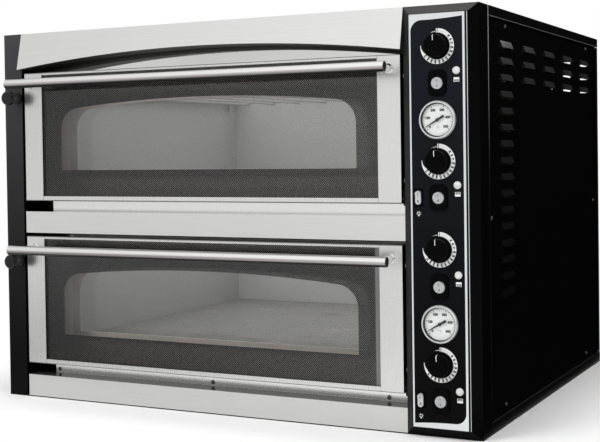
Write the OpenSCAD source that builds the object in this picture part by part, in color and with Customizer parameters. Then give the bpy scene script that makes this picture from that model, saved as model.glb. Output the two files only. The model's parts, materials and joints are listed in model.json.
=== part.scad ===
// Two-deck electric pizza oven with drop-down glass doors and a control column.
// Millimetres, +Z up. Each piece is drawn with y measured back from the front plane;
// from_front() then brings the origin to the bottom centre of the whole oven.

/* [Body] */
// Width over the side flanges
body_w = 1010; // [980:5:1060]
// Depth from the front plane to the back
body_d = 845; // [840:5:880]
// Height from the base to the top cover
body_h = 735; // [732:1:745]
// Thickness of the folded sheet
sheet = 1.5; // [1.2:0.1:1.8]
// Width of the black post left of the doors
post_w = 44; // [42:1:48]
// Width of the control column right of the doors
column_w = 136; // [134:1:142]
// Height of the base fascia
base_h = 45; // [42:1:46]
// Depth of the recess that the doors sit in
recess_d = 76; // [76:1:80]
// Height of the hood's lower edge at its ends
hood_end_z = 662; // [662:1:666]
// Rise of the hood's arch from its ends to its middle
hood_rise = 28; // [20:1:34]
// How far the hood's lower edge leans out past the front plane
hood_lean = 16; // [10:1:20]

/* [Doors] */
// Height of one door
door_h = 257; // [250:1:258]
// Height from one deck to the next
deck_pitch = 329; // [328:1:332]
// Depth of a door from front to back
door_d = 62; // [58:1:62]
// Gap between a door's end and the body
door_gap = 6.5; // [6:0.5:8]
// Width of a door's upright stiles
stile_w = 43; // [38:1:48]
// Height of a door's top rail
top_rail = 5; // [4:1:10]
// Height of a door's bottom rail
bottom_rail = 9; // [8:1:12]
// Width of the arched window
window_w = 644; // [600:2:660]
// Height of the arched window at its middle
window_h = 137; // [120:1:145]
// Radius of the window's shallow arch
window_arch_r = 2900; // [2400:50:3400]
// Radius of the window's top corners
window_corner_r = 42; // [30:1:50]
// Diameter of the handle bar
bar_d = 18; // [16:1:20]
// Distance of the handle bar's middle from the door's face
bar_out = 60; // [50:1:65]

/* [Chambers] */
// Inside width of a chamber
chamber_w = 720; // [700:5:720]
// Inside depth of a chamber
chamber_d = 700; // [680:5:700]
// Thickness of the baking stone
stone_t = 14; // [12:1:18]
// Heating hairpins across one layer
hairpins = 5; // [3:1:6]
// Diameter of a heating element
element_d = 8; // [6:0.5:9]

/* [Controls] */
// Width of the column's sloped edge
bevel_w = 15; // [12:1:18]
// How far the column's face stands out of the front plane
bevel_out = 14; // [10:1:18]
// Diameter of a thermostat knob's skirt
knob_d = 44.5; // [40:0.5:48]
// Outside diameter of a thermometer
gauge_d = 65; // [60:1:68]
// Diameter of a pilot lamp
lamp_d = 13; // [10:1:16]
// Diameter of a round rocker
rocker_d = 20; // [18:0.5:22]
// Diameter of a damper's pull knob
pull_d = 28; // [24:1:32]

/* [Side panels] */
// Louvres down the front column of the right panel
louvre_rows = 16; // [3:1:16]
// Columns of louvres along the right panel's top
louvre_cols = 5; // [2:1:5]
// Length of one louvre
louvre_l = 66; // [50:1:80]
// How far the panels sit in from the flanges
panel_inset = 5; // [4.5:0.5:6]

/* [Hidden] */
$fn = 64;
eps = 0.1;
wide_arc = 1000;
wide_arc_facets = 2000;
gland_out = 20;
gland_z = 60;
gland_d = 20.6;
gland_bore = 10;
front_reach = bar_out + bar_d / 2;
front_y = -(body_d + gland_out - front_reach) / 2;
left_x = -body_w / 2;
right_x = body_w / 2;
open_l = left_x + post_w;
open_r = right_x - column_w;
floor_t = 2;

// Doors
door_w = open_r - open_l - 2 * door_gap;
door_cx = (open_l + open_r) / 2;
door_z0 = base_h + 24;
door_z = [door_z0, door_z0 + deck_pitch];
LOWER = 0;
UPPER = 1;
window_z = 61;
handle_z = door_h - 24;
handle_half = door_w / 2 - 3.5;
post_at = door_w / 2 - stile_w / 2;
glass_t = 4;
inner_panel_y = door_d - 3.5;
hinge_y = 12;
hinge_z = 8;
pin_d = 8;
running_gap = 0.05;
bracket_t = 4;
seam_groove = 0.5;
post_r = 6.5;
flange_r = 8.8;

// Fascias between the doors
trim_gap = 5;
band_z = door_z[LOWER] + door_h + 7;
band_h = 43;
band_return = 40;
fascia_return = 30;
sill_d = 42;
sill_gap = 2.5;
sill_start = 41;
post_return = 18;
soffit_lip = 6;
shelf_drop = 4;

// Chambers, measured from a door's lower edge
liner_h = 226;
stone_top = 43;
mouth_top = 222;
liner_x = chamber_w / 2 + sheet;
chamber_y = recess_d + sheet;
chamber_back = chamber_y + chamber_d;
element_under_top = 12;
element_over_floor = 10;
ledge_w = 14;
lamp_y = chamber_y + 200;
lamp_up = 140;
lamp_hole = 51;
lamp_room = 62;
seal_w = 12;
seal_over = 8;

// Flue, damper and its pull rod, measured from a door's lower edge
rod_x = left_x + 33.5;
rod_z = 207;
rod_d = 8;
vent_y = 726;
vent_size = 30;
damper_travel = 50;
duct_half = 24;
wall_l = door_cx - liner_x;
wall_r = door_cx + liner_x;

// Control column
column_side_d = 50;
plate_y = 1 - bevel_out;
plate_t = 2;
column_cx = (open_r + right_x) / 2;
plate_w = column_w - 2 * bevel_w;
plate_h = body_h - floor_t - 2 * bevel_w;
plate_z = floor_t + bevel_w;
control_x = column_cx - 1.7;
lamp_x = column_cx + 32;
light_x = column_cx - 38;
knob_z = [126, 321, 470, 664];
switch_z = [64, 258, 409, 602];
lamp_z = [83, 279, 430, 622];
gauge_z = [195, 540];
light_z = [64, 409];
rocker_rest = 7;
pivot_d = 2.4;
pivot_out = 1.8;
pivot_room = 0.4;
slim_pivot_d = 2;
slim_pivot_out = 1.4;
knob_h = 20;
spindle_d = 6;
bush_d = 10;
switch_w = 32;
switch_h = 44;
switch_r = 10;
switch_body = [26, 32, 22];
light_body = [14, 28, 16];
light_flange = [16, 30, 1.6];
cutout_gap = 0.2;
thermostat = [38, 38, 30];
ledge_in = 5;
ledge_out = 2.5;
rocker_hole_d = rocker_d + 1.8;
light_w = 10;
light_h = 23;
rocker_proud = 5;
gauge_pointer_rest = 120;
gauge_pin_d = 2;
knob_rest = 4;

// Side panels
flange_top = 18;
flange_bottom = 22;
seam = 1.5;
panel_z0 = flange_bottom + seam;
panel_z1 = body_h - flange_top - seam;
panel_y0 = column_side_d + seam;
back_y = body_d - 2 * sheet;
lip_x = right_x - panel_inset - 2 * sheet;
lip_y0 = 80;
lip_h = 22;
back_return = 14;
base_slots = 10;
back_slots = 9;
back_slot_z = 434;
back_slot_pitch = 30;
back_slot_h = 12;
flue_slots = 4;
louvre_first_y = 163;
louvre_pitch_y = 143;
louvre_first_z = 669;
louvre_pitch_z = 29.4;
louvre_h = 12;
louvre_out = 4.5;
louvre_slit = 2.5;
short_rows = 3;
side_screws = [[160, 707], [752, 707], [60, 370], [812, 370], [145, 34], [735, 34]];
strip_screws = [-364, 0, 364];
screw_d = 8;
screw_h = 1.8;
strip_screw_z = base_h + 6.5;

// Shared placing and shapes

module from_front() {
  translate([0, front_y, 0]) children();
}

module on_door(deck) {
  from_front() translate([door_cx, 0, door_z[deck]]) children();
}

module on_panel(x, z) {
  from_front() translate([x, plate_y, z]) rotate([90, 0, 0]) children();
}

module slab(x0, x1, y0, y1, z0, z1) {
  translate([x0, y0, z0]) cube([x1 - x0, y1 - y0, z1 - z0]);
}

module rod_along_x(d, x0, x1, y, z) {
  translate([x0, y, z]) rotate([0, 90, 0]) cylinder(d = d, h = x1 - x0);
}

module rod_along_y(d, y0, y1, x, z) {
  facets = d > wide_arc ? wide_arc_facets : $fn;
  translate([x, y1, z]) rotate([90, 0, 0]) cylinder(d = d, h = y1 - y0, $fn = facets);
}

// What is drawn on the right, and its mirror image on the left
module both_sides() {
  children();
  mirror([1, 0, 0]) children();
}

// Upright oval with round ends, standing on z = 0
module oval(w, h, t) {
  offset_z = (h - w) / 2;
  union() {
    for (side = [-1, 1]) translate([0, side * offset_z, 0]) cylinder(d = w, h = t);
    translate([-w / 2, -offset_z, 0]) cube([w, 2 * offset_z, t]);
  }
}

// Upright plate with round corners, standing on z = 0
module rounded(w, h, r, t) {
  union() {
    for (x = [-1, 1], y = [-1, 1]) translate([x * (w / 2 - r), y * (h / 2 - r), 0]) cylinder(r = r, h = t);
    translate([-w / 2, r - h / 2, 0]) cube([w, h - 2 * r, t]);
    translate([r - w / 2, -h / 2, 0]) cube([w - 2 * r, h, t]);
  }
}

// Profile in the y-z plane carried along x
module folded(x0, x1, points) {
  translate([x0, 0, 0]) rotate([90, 0, 90]) linear_extrude(height = x1 - x0) polygon(points);
}

// Straight-sided window with a shallow arch and round top corners, through y0 to y1
module arched_window(w, h, y0, y1) {
  half = w / 2;
  r = window_corner_r;
  big = window_arch_r;
  corner_x = half - r;
  corner_z = h - big + sqrt(pow(big - r, 2) - pow(corner_x, 2));
  tangent_x = corner_x * big / (big - r);
  union() {
    slab(-half, half, y0, y1, 0, corner_z);
    for (side = [-1, 1]) rod_along_y(2 * r, y0, y1, side * corner_x, corner_z);
    intersection() {
      slab(-tangent_x, tangent_x, y0, y1, corner_z, h + eps);
      rod_along_y(2 * big, y0, y1, 0, h - big);
    }
  }
}

module screw_head() {
  r = screw_d / 2;
  rotate_extrude() polygon([[0, 0], [r, 0], [r, 0.7], [r - 0.9, screw_h], [0, screw_h]]);
}

// Casing

module base_pan() {
  color("#1b1b1c") from_front() difference() {
    union() {
      slab(left_x, right_x, 0, body_d, 0, floor_t);
      both_sides() {
        slab(right_x - sheet, right_x, panel_y0, body_d, floor_t, flange_bottom);
        slab(lip_x, lip_x + sheet, lip_y0, back_y, floor_t, flange_bottom + lip_h);
      }
      slab(left_x, right_x, body_d - sheet, body_d, floor_t, flange_bottom);
    }
    for (i = [0:base_slots - 1])
      slab(column_cx - 40, column_cx + 30, 200 + 40 * i, 206 + 40 * i, -eps, floor_t + eps);
  }
}

// Folded return behind a front corner, which the side panel is screwed to
module side_return() {
  top = body_h - shelf_drop;
  slab(lip_x, right_x - sheet / 2, column_side_d - sheet, column_side_d, floor_t, top);
  slab(lip_x, lip_x + sheet, column_side_d - sheet, lip_y0 - 1, floor_t, top);
}

module left_post() {
  color("#232324") from_front() union() {
    difference() {
      slab(left_x, open_l, 0, recess_d, floor_t, body_h);
      slab(left_x + sheet, open_l - sheet, sheet, recess_d + eps, floor_t - eps, body_h - sheet);
      slab(left_x - eps, open_l - sheet, column_side_d, recess_d + eps, floor_t - eps, body_h + eps);
      slab(left_x - eps, open_l + eps, column_side_d, recess_d + eps, body_h - shelf_drop, body_h + eps);
      for (z = door_z) rod_along_y(14, -eps, sheet + eps, rod_x, z + rod_z);
    }
    mirror([1, 0, 0]) side_return();
    slab(open_l - sheet / 2, open_l + post_return, recess_d - sheet, recess_d,
      floor_t, hood_end_z - 2 * soffit_lip);
  }
}

module side_sheet() {
  slab(0, sheet, panel_y0, back_y, panel_z0, panel_z1);
}

module left_side_panel() {
  color("#151516") from_front() translate([left_x + panel_inset, 0, 0]) side_sheet();
}

// One pressed louvre on a panel whose outer face is x = 0; its mouth looks down
module louvre_hood() {
  difference() {
    translate([0, louvre_l / 2, 0]) rotate([90, 0, 0]) linear_extrude(height = louvre_l)
      polygon([[0, louvre_h], [louvre_out, 0], [0, 0]]);
    translate([0, louvre_l / 2 - 1, 0]) rotate([90, 0, 0]) linear_extrude(height = louvre_l - 2)
      polygon([[-eps, louvre_h - 4], [0, louvre_h - 4], [louvre_out - 1, -eps], [-eps, -eps]]);
  }
}

function louvre_count(col) = col == 0 ? louvre_rows : short_rows;

module right_side_panel() {
  color("#151516") from_front() translate([right_x - panel_inset, 0, 0]) union() {
    difference() {
      translate([-sheet, 0, 0]) side_sheet();
      for (col = [0:louvre_cols - 1], row = [0:louvre_count(col) - 1])
        translate([0, louvre_first_y + col * louvre_pitch_y, louvre_first_z - row * louvre_pitch_z])
          slab(-sheet - eps, eps, 1 - louvre_l / 2, louvre_l / 2 - 1, -louvre_slit, louvre_h - 4);
    }
    for (col = [0:louvre_cols - 1], row = [0:louvre_count(col) - 1])
      translate([0, louvre_first_y + col * louvre_pitch_y, louvre_first_z - row * louvre_pitch_z])
        louvre_hood();
  }
}

module top_cover() {
  color("#151516") from_front() union() {
    slab(left_x, right_x, panel_y0, body_d, body_h - sheet, body_h);
    both_sides() {
      slab(right_x - sheet, right_x, panel_y0, body_d, body_h - flange_top, body_h - sheet);
      slab(lip_x, lip_x + sheet, lip_y0, back_y, body_h - flange_top - lip_h, body_h - sheet);
    }
    slab(left_x + sheet, right_x - sheet, body_d - sheet, body_d, body_h - flange_top, body_h - sheet);
  }
}

// Vented sheet whose sides fold forward into corner strips flush with the flanges
module back_panel() {
  color("#1c1c1d") from_front() difference() {
    union() {
      slab(left_x + panel_inset, right_x - panel_inset, back_y, back_y + sheet, floor_t, body_h - sheet);
      both_sides() {
        slab(right_x - panel_inset - 1, right_x, back_y, back_y + sheet, panel_z0, panel_z1);
        slab(right_x - sheet, right_x, body_d - back_return, back_y + sheet, panel_z0, panel_z1);
      }
    }
    for (i = [0:back_slots - 1]) translate([column_cx, 0, back_slot_z + back_slot_pitch * i])
      slab(-45, 50, back_y - eps, body_d, 0, back_slot_h);
    for (z = door_z, i = [0:flue_slots - 1])
      slab(left_x + 22, wall_l - 12, back_y - eps, body_d, z + rod_z - 17 + 10 * i, z + rod_z - 13 + 10 * i);
    rod_along_y(gland_d + 0.4, back_y - eps, body_d, column_cx, gland_z);
  }
}

// Leaning fascia with an arched lower edge, a curved soffit that ends in a lip, and closed ends
module hood() {
  arch_half = (open_r - open_l) / 2;
  arch_r = (arch_half * arch_half + hood_rise * hood_rise) / (2 * hood_rise);
  arch_z = hood_end_z + hood_rise - arch_r;
  low_z = hood_end_z - 10;
  lean = hood_lean / (body_h - hood_end_z);
  low_y = -lean * (body_h - low_z);
  color("#d8d8da") from_front() difference() {
    folded(open_l, open_r, [
      [low_y, low_z], [0, body_h], [column_side_d, body_h], [column_side_d, body_h - shelf_drop],
      [recess_d, body_h - shelf_drop], [recess_d, low_z]
    ]);
    rod_along_y(2 * arch_r, low_y - 1, recess_d - sheet, door_cx, arch_z);
    rod_along_y(2 * (arch_r - soffit_lip), recess_d - 2 * sheet, recess_d + 1, door_cx, arch_z);
    difference() {
      folded(open_l + sheet, open_r - sheet, [
        [low_y + sheet, low_z - 1], [sheet, body_h - sheet], [recess_d + 1, body_h - sheet],
        [recess_d + 1, low_z - 1]
      ]);
      rod_along_y(2 * (arch_r + sheet), low_y - 2, recess_d + 2, door_cx, arch_z);
    }
  }
}

module chamber_front() {
  color("#dcdcdd") from_front() difference() {
    slab(open_l, open_r, recess_d, recess_d + sheet, floor_t, body_h - shelf_drop);
    for (z = door_z)
      slab(wall_l + sheet, wall_r - sheet, recess_d - 1, recess_d + sheet + 1, z + stone_top, z + mouth_top);
  }
}

// Folded face with a ledge behind its top edge, and a sill that stands on the ledge under a door
module fascia(z0, top, return_d, sill_h) {
  sill_z = top + sill_h;
  union() {
    folded(open_l + trim_gap, open_r, [
      [0, z0], [0, top], [sill_d + sheet, top], [sill_d + sheet, top - sheet], [sheet, top - sheet],
      [sheet, z0 + sheet], [return_d, z0 + sheet], [return_d, z0]
    ]);
    folded(open_l + sill_start, open_r, [
      [sill_d, top - sheet / 2], [sill_d, sill_z], [recess_d, sill_z], [recess_d, sill_z - sheet],
      [sill_d + sheet, sill_z - sheet], [sill_d + sheet, top - sheet / 2]
    ]);
  }
}

module middle_band() {
  top = band_z + band_h;
  color("#d4d4d5") from_front() fascia(band_z, top, band_return, door_z[UPPER] - top - sill_gap);
}

module base_fascia() {
  color("#c9c9ca") from_front() fascia(floor_t, base_h, fascia_return, door_z[LOWER] - base_h - sill_gap);
}

module damper_bushes() {
  color("#111112") from_front() for (z = door_z) difference() {
    union() {
      rod_along_y(22, -5, 0, rod_x, z + rod_z);
      rod_along_y(14, 0, 12, rod_x, z + rod_z);
    }
    rod_along_y(rod_d + 2 * running_gap, -6, 13, rod_x, z + rod_z);
  }
}

// Gland for the supply lead, clamped to the back panel between two hexagon nuts
module cable_gland() {
  seat = back_y + sheet;
  nut_h = body_d + 6 - seat;
  dome_h = gland_out - 6;
  color("#161617") from_front() difference() {
    union() {
      rod_along_y(gland_d, back_y - 8, seat + 1, column_cx, gland_z);
      translate([column_cx, back_y - 5, gland_z]) rotate([-90, 0, 0]) cylinder(d = 28, h = 5, $fn = 6);
      translate([column_cx, seat, gland_z]) rotate([-90, 0, 0]) cylinder(d = 28, h = nut_h, $fn = 6);
      translate([column_cx, seat + nut_h, gland_z]) rotate([-90, 0, 0])
        rotate_extrude() polygon([[0, 0], [12, 0], [12, 8], [9, dome_h], [0, dome_h]]);
    }
    rod_along_y(gland_bore, back_y - 9, body_d + gland_out + 1, column_cx, gland_z);
  }
}

module screws() {
  color("#b9b9bb") from_front() union() {
    for (p = side_screws) {
      translate([right_x - panel_inset, p[0], p[1]]) rotate([0, 90, 0]) screw_head();
      translate([left_x + panel_inset, p[0], p[1]]) rotate([0, -90, 0]) screw_head();
    }
    for (x = strip_screws)
      translate([door_cx + x, sill_d, strip_screw_z]) rotate([90, 0, 0]) screw_head();
  }
}

// Baking chambers

// Folded box, open at the front, with a vent, a lamp hole and ledges under the stone
module chamber(deck) {
  z = door_z[deck];
  ledge_z = z + stone_top - stone_t;
  vent_half = vent_size / 2;
  vent_z = z + rod_z;
  color("#a9a6a0") from_front() union() {
    difference() {
      slab(wall_l, wall_r, chamber_y, chamber_back + sheet, z, z + liner_h);
      slab(wall_l + sheet, wall_r - sheet, chamber_y - 1, chamber_back, z + sheet, z + liner_h - sheet);
      slab(wall_l - 1, wall_l + sheet + 1, vent_y - vent_half, vent_y + vent_half,
        vent_z - vent_half, vent_z + vent_half);
      rod_along_x(lamp_hole, wall_r - sheet - 1, wall_r + 1, lamp_y, z + lamp_up);
    }
    slab(wall_l + sheet / 2, wall_l + ledge_w, chamber_y, chamber_back, ledge_z - sheet, ledge_z);
    slab(wall_r - ledge_w, wall_r - sheet / 2, chamber_y, chamber_back, ledge_z - sheet, ledge_z);
    slab(door_cx - ledge_w, door_cx + ledge_w, chamber_y, chamber_back + sheet / 2, ledge_z - sheet, ledge_z);
  }
}

module upper_chamber() {
  chamber(UPPER);
}

module lower_chamber() {
  chamber(LOWER);
}

// Two slabs side by side on the chamber's ledges
module stone(deck) {
  z = door_z[deck] + stone_top;
  half = chamber_w / 2 - 3;
  color("#c9b79c") from_front() for (side = [-1, 1]) translate([door_cx + side * (half / 2 + 0.5), 0, 0])
    slab(-half / 2, half / 2, chamber_y + 4, chamber_back - 4, z - stone_t, z);
}

module upper_stone() {
  stone(UPPER);
}

module lower_stone() {
  stone(LOWER);
}

// Hairpin of round element lying flat, its legs running back
module hairpin(pitch, y0, y1) {
  bend = pitch / 2;
  union() {
    for (side = [-1, 1]) rod_along_y(element_d, y0 + bend, y1, side * bend, 0);
    translate([0, y0 + bend, 0]) rotate([0, 0, 180]) rotate_extrude(angle = 180)
      translate([bend, 0]) circle(d = element_d);
  }
}

module heaters() {
  pitch = chamber_w / (2 * hairpins);
  heights = [element_over_floor, liner_h - element_under_top];
  first_x = door_cx - chamber_w / 2 + pitch;
  color("#6d6661") from_front() for (z = door_z, h = heights, i = [0:hairpins - 1])
    translate([first_x + 2 * pitch * i, 0, z + h]) hairpin(pitch, chamber_y + 30, chamber_back);
}

// Slabs of mineral wool below, between, above, behind and beside the chambers
module insulation() {
  low = door_z[LOWER];
  high = door_z[UPPER];
  x0 = wall_l + 5;
  x1 = wall_r - 5;
  y0 = chamber_y + 20;
  color("#d9c98f") from_front() union() {
    slab(x0, x1, y0, chamber_back, floor_t, low);
    slab(x0, x1, y0, chamber_back, low + liner_h, high);
    slab(x0, x1, y0, chamber_back, high + liner_h, body_h - 12);
    slab(x0, x1, chamber_back + sheet, back_y - 8, low, high + liner_h);
    for (z = [low, high]) slab(left_x + 20, wall_l, y0, chamber_back, z, z + rod_z - duct_half - 6);
    difference() {
      slab(wall_r, open_r - 6, y0, chamber_back, low, high + liner_h);
      for (z = door_z) rod_along_x(lamp_room, wall_r - 1, open_r, lamp_y, z + lamp_up);
    }
  }
}

// Lamp with a domed glass inside the chamber and its socket through the wall
module chamber_lamps() {
  color("#efe7c8") from_front() for (z = door_z)
    translate([wall_r - sheet, lamp_y, z + lamp_up]) rotate([0, -90, 0])
      rotate_extrude() polygon([
        [0, -48], [20, -48], [25, -40], [25, 0], [31, 0], [31, 3], [24, 9], [12, 13], [0, 14]
      ]);
}

// Rope seal round each chamber mouth, just clear of the closed door
module door_seals() {
  inner_half = chamber_w / 2 + seal_over;
  outer_half = inner_half + seal_w;
  color("#33302d") from_front() for (z = door_z) {
    low = z + stone_top - seal_over;
    high = z + mouth_top + seal_over;
    difference() {
      slab(door_cx - outer_half, door_cx + outer_half, door_d + 1, recess_d, low - seal_w, high + seal_w);
      slab(door_cx - inner_half, door_cx + inner_half, door_d, recess_d + 1, low, high);
    }
  }
}

// Channel on the left wall of each chamber from the vent to the back
module flue_ducts() {
  x0 = left_x + 14;
  y0 = vent_y - vent_size / 2 - damper_travel - 40;
  inside = duct_half - sheet;
  color("#8f9090") from_front() for (z = door_z) translate([0, 0, z + rod_z]) difference() {
    slab(x0, wall_l, y0, back_y, -duct_half, duct_half);
    slab(x0 + sheet, wall_l + 1, y0 + sheet, back_y + 1, -inside, inside);
    rod_along_y(rod_d + 1.5, y0 - 1, y0 + sheet + 1, rod_x, 0);
  }
}

module damper_rod(deck) {
  z = door_z[deck] + rod_z;
  cover = vent_size / 2 + 6;
  color("#c7c8ca") from_front() union() {
    rod_along_y(rod_d, -30, vent_y + 6, rod_x, z);
    slab(rod_x - 5, wall_l - 0.8, vent_y - 4, vent_y + 4, z - 7, z + 7);
    slab(wall_l - 2.3, wall_l - 0.8, vent_y - cover, vent_y + cover, z - cover, z + cover);
  }
}

module upper_damper_rod() {
  damper_rod(UPPER);
}

module lower_damper_rod() {
  damper_rod(LOWER);
}

module damper_knob(deck) {
  r = pull_d / 2;
  z = door_z[deck] + rod_z;
  color("#1a1a1b") from_front() translate([rod_x, -19, z]) rotate([90, 0, 0]) difference() {
    rotate_extrude() polygon([[0, 0], [7, 0], [8, 4], [r - 1.5, 6], [r, 8], [r, 15], [r - 2, 18], [0, 19]]);
    translate([0, 0, -1]) cylinder(d = rod_d, h = 12);
  }
}

module upper_damper_knob() {
  damper_knob(UPPER);
}

module lower_damper_knob() {
  damper_knob(LOWER);
}

// Doors

// Folded tray, open at the back, with the glass opening in its face
module door_frame(deck) {
  half = door_w / 2;
  color("#d9d9da") on_door(deck) difference() {
    slab(-half, half, 0, door_d, 0, door_h);
    slab(-half + sheet, half - sheet, sheet, door_d + 1, sheet, door_h - sheet);
    slab(-half + stile_w, half - stile_w, -1, sheet + 1, bottom_rail, door_h - top_rail);
    rod_along_x(pin_d + 0.2, -half - 1, half + 1, hinge_y, hinge_z);
    for (side = [-1, 1], z = [[-1, bottom_rail], [door_h - top_rail, door_h + 1]])
      translate([side * (half - stile_w), 0, 0])
        slab(-seam_groove / 2, seam_groove / 2, -1, seam_groove, z[0], z[1]);
  }
}

module upper_door_frame() {
  door_frame(UPPER);
}

module lower_door_frame() {
  door_frame(LOWER);
}

module outer_glass(deck) {
  half = door_w / 2 - stile_w + 12;
  color([0.2, 0.2, 0.21, 0.4]) on_door(deck)
    slab(-half, half, sheet, sheet + glass_t, sheet + 0.5, door_h - sheet - 0.5);
}

module upper_outer_glass() {
  outer_glass(UPPER);
}

module lower_outer_glass() {
  outer_glass(LOWER);
}

module inner_panel(deck) {
  half = door_w / 2 - sheet - 0.2;
  color("#b4b4b6") on_door(deck) difference() {
    slab(-half, half, inner_panel_y, door_d, sheet + 0.2, door_h - sheet - 0.2);
    slab(-half + sheet, half - sheet, inner_panel_y + sheet, door_d + 1, 2 * sheet, door_h - 2 * sheet);
    translate([0, 0, window_z]) arched_window(window_w, window_h, inner_panel_y - 1, door_d + 1);
  }
}

module upper_inner_panel() {
  inner_panel(UPPER);
}

module lower_inner_panel() {
  inner_panel(LOWER);
}

module inner_glass(deck) {
  half = window_w / 2 + 16;
  color([0.6, 0.62, 0.62, 0.3]) on_door(deck)
    slab(-half, half, inner_panel_y - glass_t, inner_panel_y, window_z - 14, window_z + window_h + 14);
}

module upper_inner_glass() {
  inner_glass(UPPER);
}

module lower_inner_glass() {
  inner_glass(LOWER);
}

module handle_bar(deck) {
  color("#e3e3e4") on_door(deck) difference() {
    rod_along_x(bar_d, -handle_half, handle_half, -bar_out, handle_z);
    rod_along_x(bar_d - 2 * sheet, -handle_half - 1, handle_half + 1, -bar_out, handle_z);
  }
}

module upper_handle_bar() {
  handle_bar(UPPER);
}

module lower_handle_bar() {
  handle_bar(LOWER);
}

module handle_posts(deck) {
  color("#cfcfd1") on_door(deck) for (side = [-1, 1]) difference() {
    translate([side * post_at, 0, handle_z]) rotate([90, 0, 0]) rotate_extrude() polygon([
      [0, 0], [flange_r, 0], [flange_r, 2], [flange_r - 2, 4], [post_r, 6], [post_r, bar_out], [0, bar_out]
    ]);
    rod_along_x(bar_d, side * post_at - 20, side * post_at + 20, -bar_out, handle_z);
  }
}

module upper_handle_posts() {
  handle_posts(UPPER);
}

module lower_handle_posts() {
  handle_posts(LOWER);
}

// Shouldered pins whose heads stand against the inside of the door's ends
module hinge_pins(deck) {
  half = door_w / 2;
  color("#9a9b9d") on_door(deck) for (side = [-1, 1]) translate([side * (half - sheet), hinge_y, hinge_z])
    rotate([0, side * 90, 0]) union() {
      cylinder(d = pin_d, h = sheet + door_gap - 1);
      translate([0, 0, -4]) cylinder(d = 12, h = 4);
    }
}

module upper_hinge_pins() {
  hinge_pins(UPPER);
}

module lower_hinge_pins() {
  hinge_pins(LOWER);
}

module hinge_brackets() {
  color("#3a3a3c") from_front() for (z = door_z) difference() {
    for (x = [open_l, open_r - bracket_t])
      slab(x, x + bracket_t, hinge_y - 9, hinge_y + 26, z + hinge_z - 12, z + hinge_z + 16);
    rod_along_x(pin_d + 2 * running_gap, open_l - 1, open_r + 1, hinge_y, z + hinge_z);
  }
}

// Control column

// Block with sloped front edges all round, drawn in by inset on every side
module column_block(inset, back) {
  x0 = open_r + inset;
  x1 = right_x - inset;
  z0 = floor_t + inset;
  z1 = body_h - inset;
  face = inset - bevel_out;
  intersection() {
    translate([0, 0, z0]) linear_extrude(height = z1 - z0) polygon([
      [x0, back], [x0, inset], [x0 + bevel_w, face], [x1 - bevel_w, face], [x1, inset], [x1, back]
    ]);
    folded(x0, x1, [
      [back, z0], [inset, z0], [face, z0 + bevel_w], [face, z1 - bevel_w], [inset, z1], [back, z1]
    ]);
  }
}

// Frame with sloped edges and side walls that run back to the casing
module control_bezel() {
  seat_y = plate_y + plate_t;
  plate_top = plate_z + plate_h;
  color("#1d1d1f") from_front() union() {
    difference() {
      column_block(0, recess_d);
      column_block(sheet, recess_d + 1);
      slab(open_r + sheet, right_x + 1, column_side_d, recess_d + 1, floor_t - 1, body_h + 1);
      slab(open_r - 1, right_x + 1, column_side_d, recess_d + 1, body_h - shelf_drop, body_h + 1);
      slab(column_cx - plate_w / 2, column_cx + plate_w / 2, -bevel_out - 1, sheet + 1, plate_z, plate_top);
    }
    for (side = [-1, 1]) translate([column_cx + side * plate_w / 2, 0, 0])
      slab(side < 0 ? -ledge_out : -ledge_in, side < 0 ? ledge_in : ledge_out, seat_y, seat_y + sheet,
        plate_z, plate_top);
    side_return();
  }
}

module control_plate() {
  gap = 0.3;
  front = plate_y - 1;
  back = plate_y + plate_t + 1;
  switch_half = switch_body / 2 + [cutout_gap, cutout_gap, 0];
  light_half = light_body / 2 + [cutout_gap, cutout_gap, 0];
  color("#191b20") from_front() difference() {
    slab(column_cx - plate_w / 2 + gap, column_cx + plate_w / 2 - gap, plate_y, plate_y + plate_t,
      plate_z + gap, plate_z + plate_h - gap);
    for (z = knob_z) rod_along_y(bush_d + 0.4, front, back, control_x, z);
    for (z = gauge_z) rod_along_y(gauge_d - 6, front, back, control_x, z);
    for (z = lamp_z) rod_along_y(lamp_d - 3.6, front, back, lamp_x, z);
    for (z = switch_z) translate([control_x, 0, z])
      slab(-switch_half[0], switch_half[0], front, back, -switch_half[1], switch_half[1]);
    for (z = light_z) translate([light_x, 0, z])
      slab(-light_half[0], light_half[0], front, back, -light_half[1], light_half[1]);
  }
}

module thermostats() {
  color("#8d8f92") for (z = knob_z) on_panel(control_x, z) difference() {
    union() {
      translate([-thermostat[0] / 2, -thermostat[1] / 2, -plate_t - thermostat[2]]) cube(thermostat);
      translate([0, 0, -plate_t]) cylinder(d = bush_d, h = plate_t + 3);
    }
    translate([0, 0, -plate_t - 22]) cylinder(d = spindle_d + 2 * running_gap, h = 40);
  }
}

// Skirted knob, hollow behind, with its spindle
module thermostat_knob(z) {
  r = knob_d / 2;
  color("#141415") on_panel(control_x, z) rotate([0, 0, knob_rest]) difference() {
    union() {
      rotate_extrude() polygon([
        [0, knob_h], [r - 7, knob_h], [r - 4.8, knob_h - 0.8], [r - 4, knob_h - 2.4], [r - 2.6, 6], [r, 3.5],
        [r, 0.8], [r - 2, 0.8], [r - 4.6, 5], [r - 6, knob_h - 3], [7, knob_h - 3], [7, 4], [0, 4]
      ]);
      translate([0, 0, -plate_t - 20]) cylinder(d = spindle_d, h = plate_t + 30);
    }
    translate([-0.8, r - 14, knob_h - 0.6]) cube([1.6, 14, 1]);
  }
}

module upper_top_knob() {
  thermostat_knob(knob_z[3]);
}

module upper_floor_knob() {
  thermostat_knob(knob_z[2]);
}

module lower_top_knob() {
  thermostat_knob(knob_z[1]);
}

module lower_floor_knob() {
  thermostat_knob(knob_z[0]);
}

// Block that stands behind the plate and reaches through its cut-out
module switch_block(size) {
  translate([-size[0] / 2, -size[1] / 2, -plate_t - size[2]]) cube([size[0], size[1], plate_t + size[2]]);
}

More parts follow.
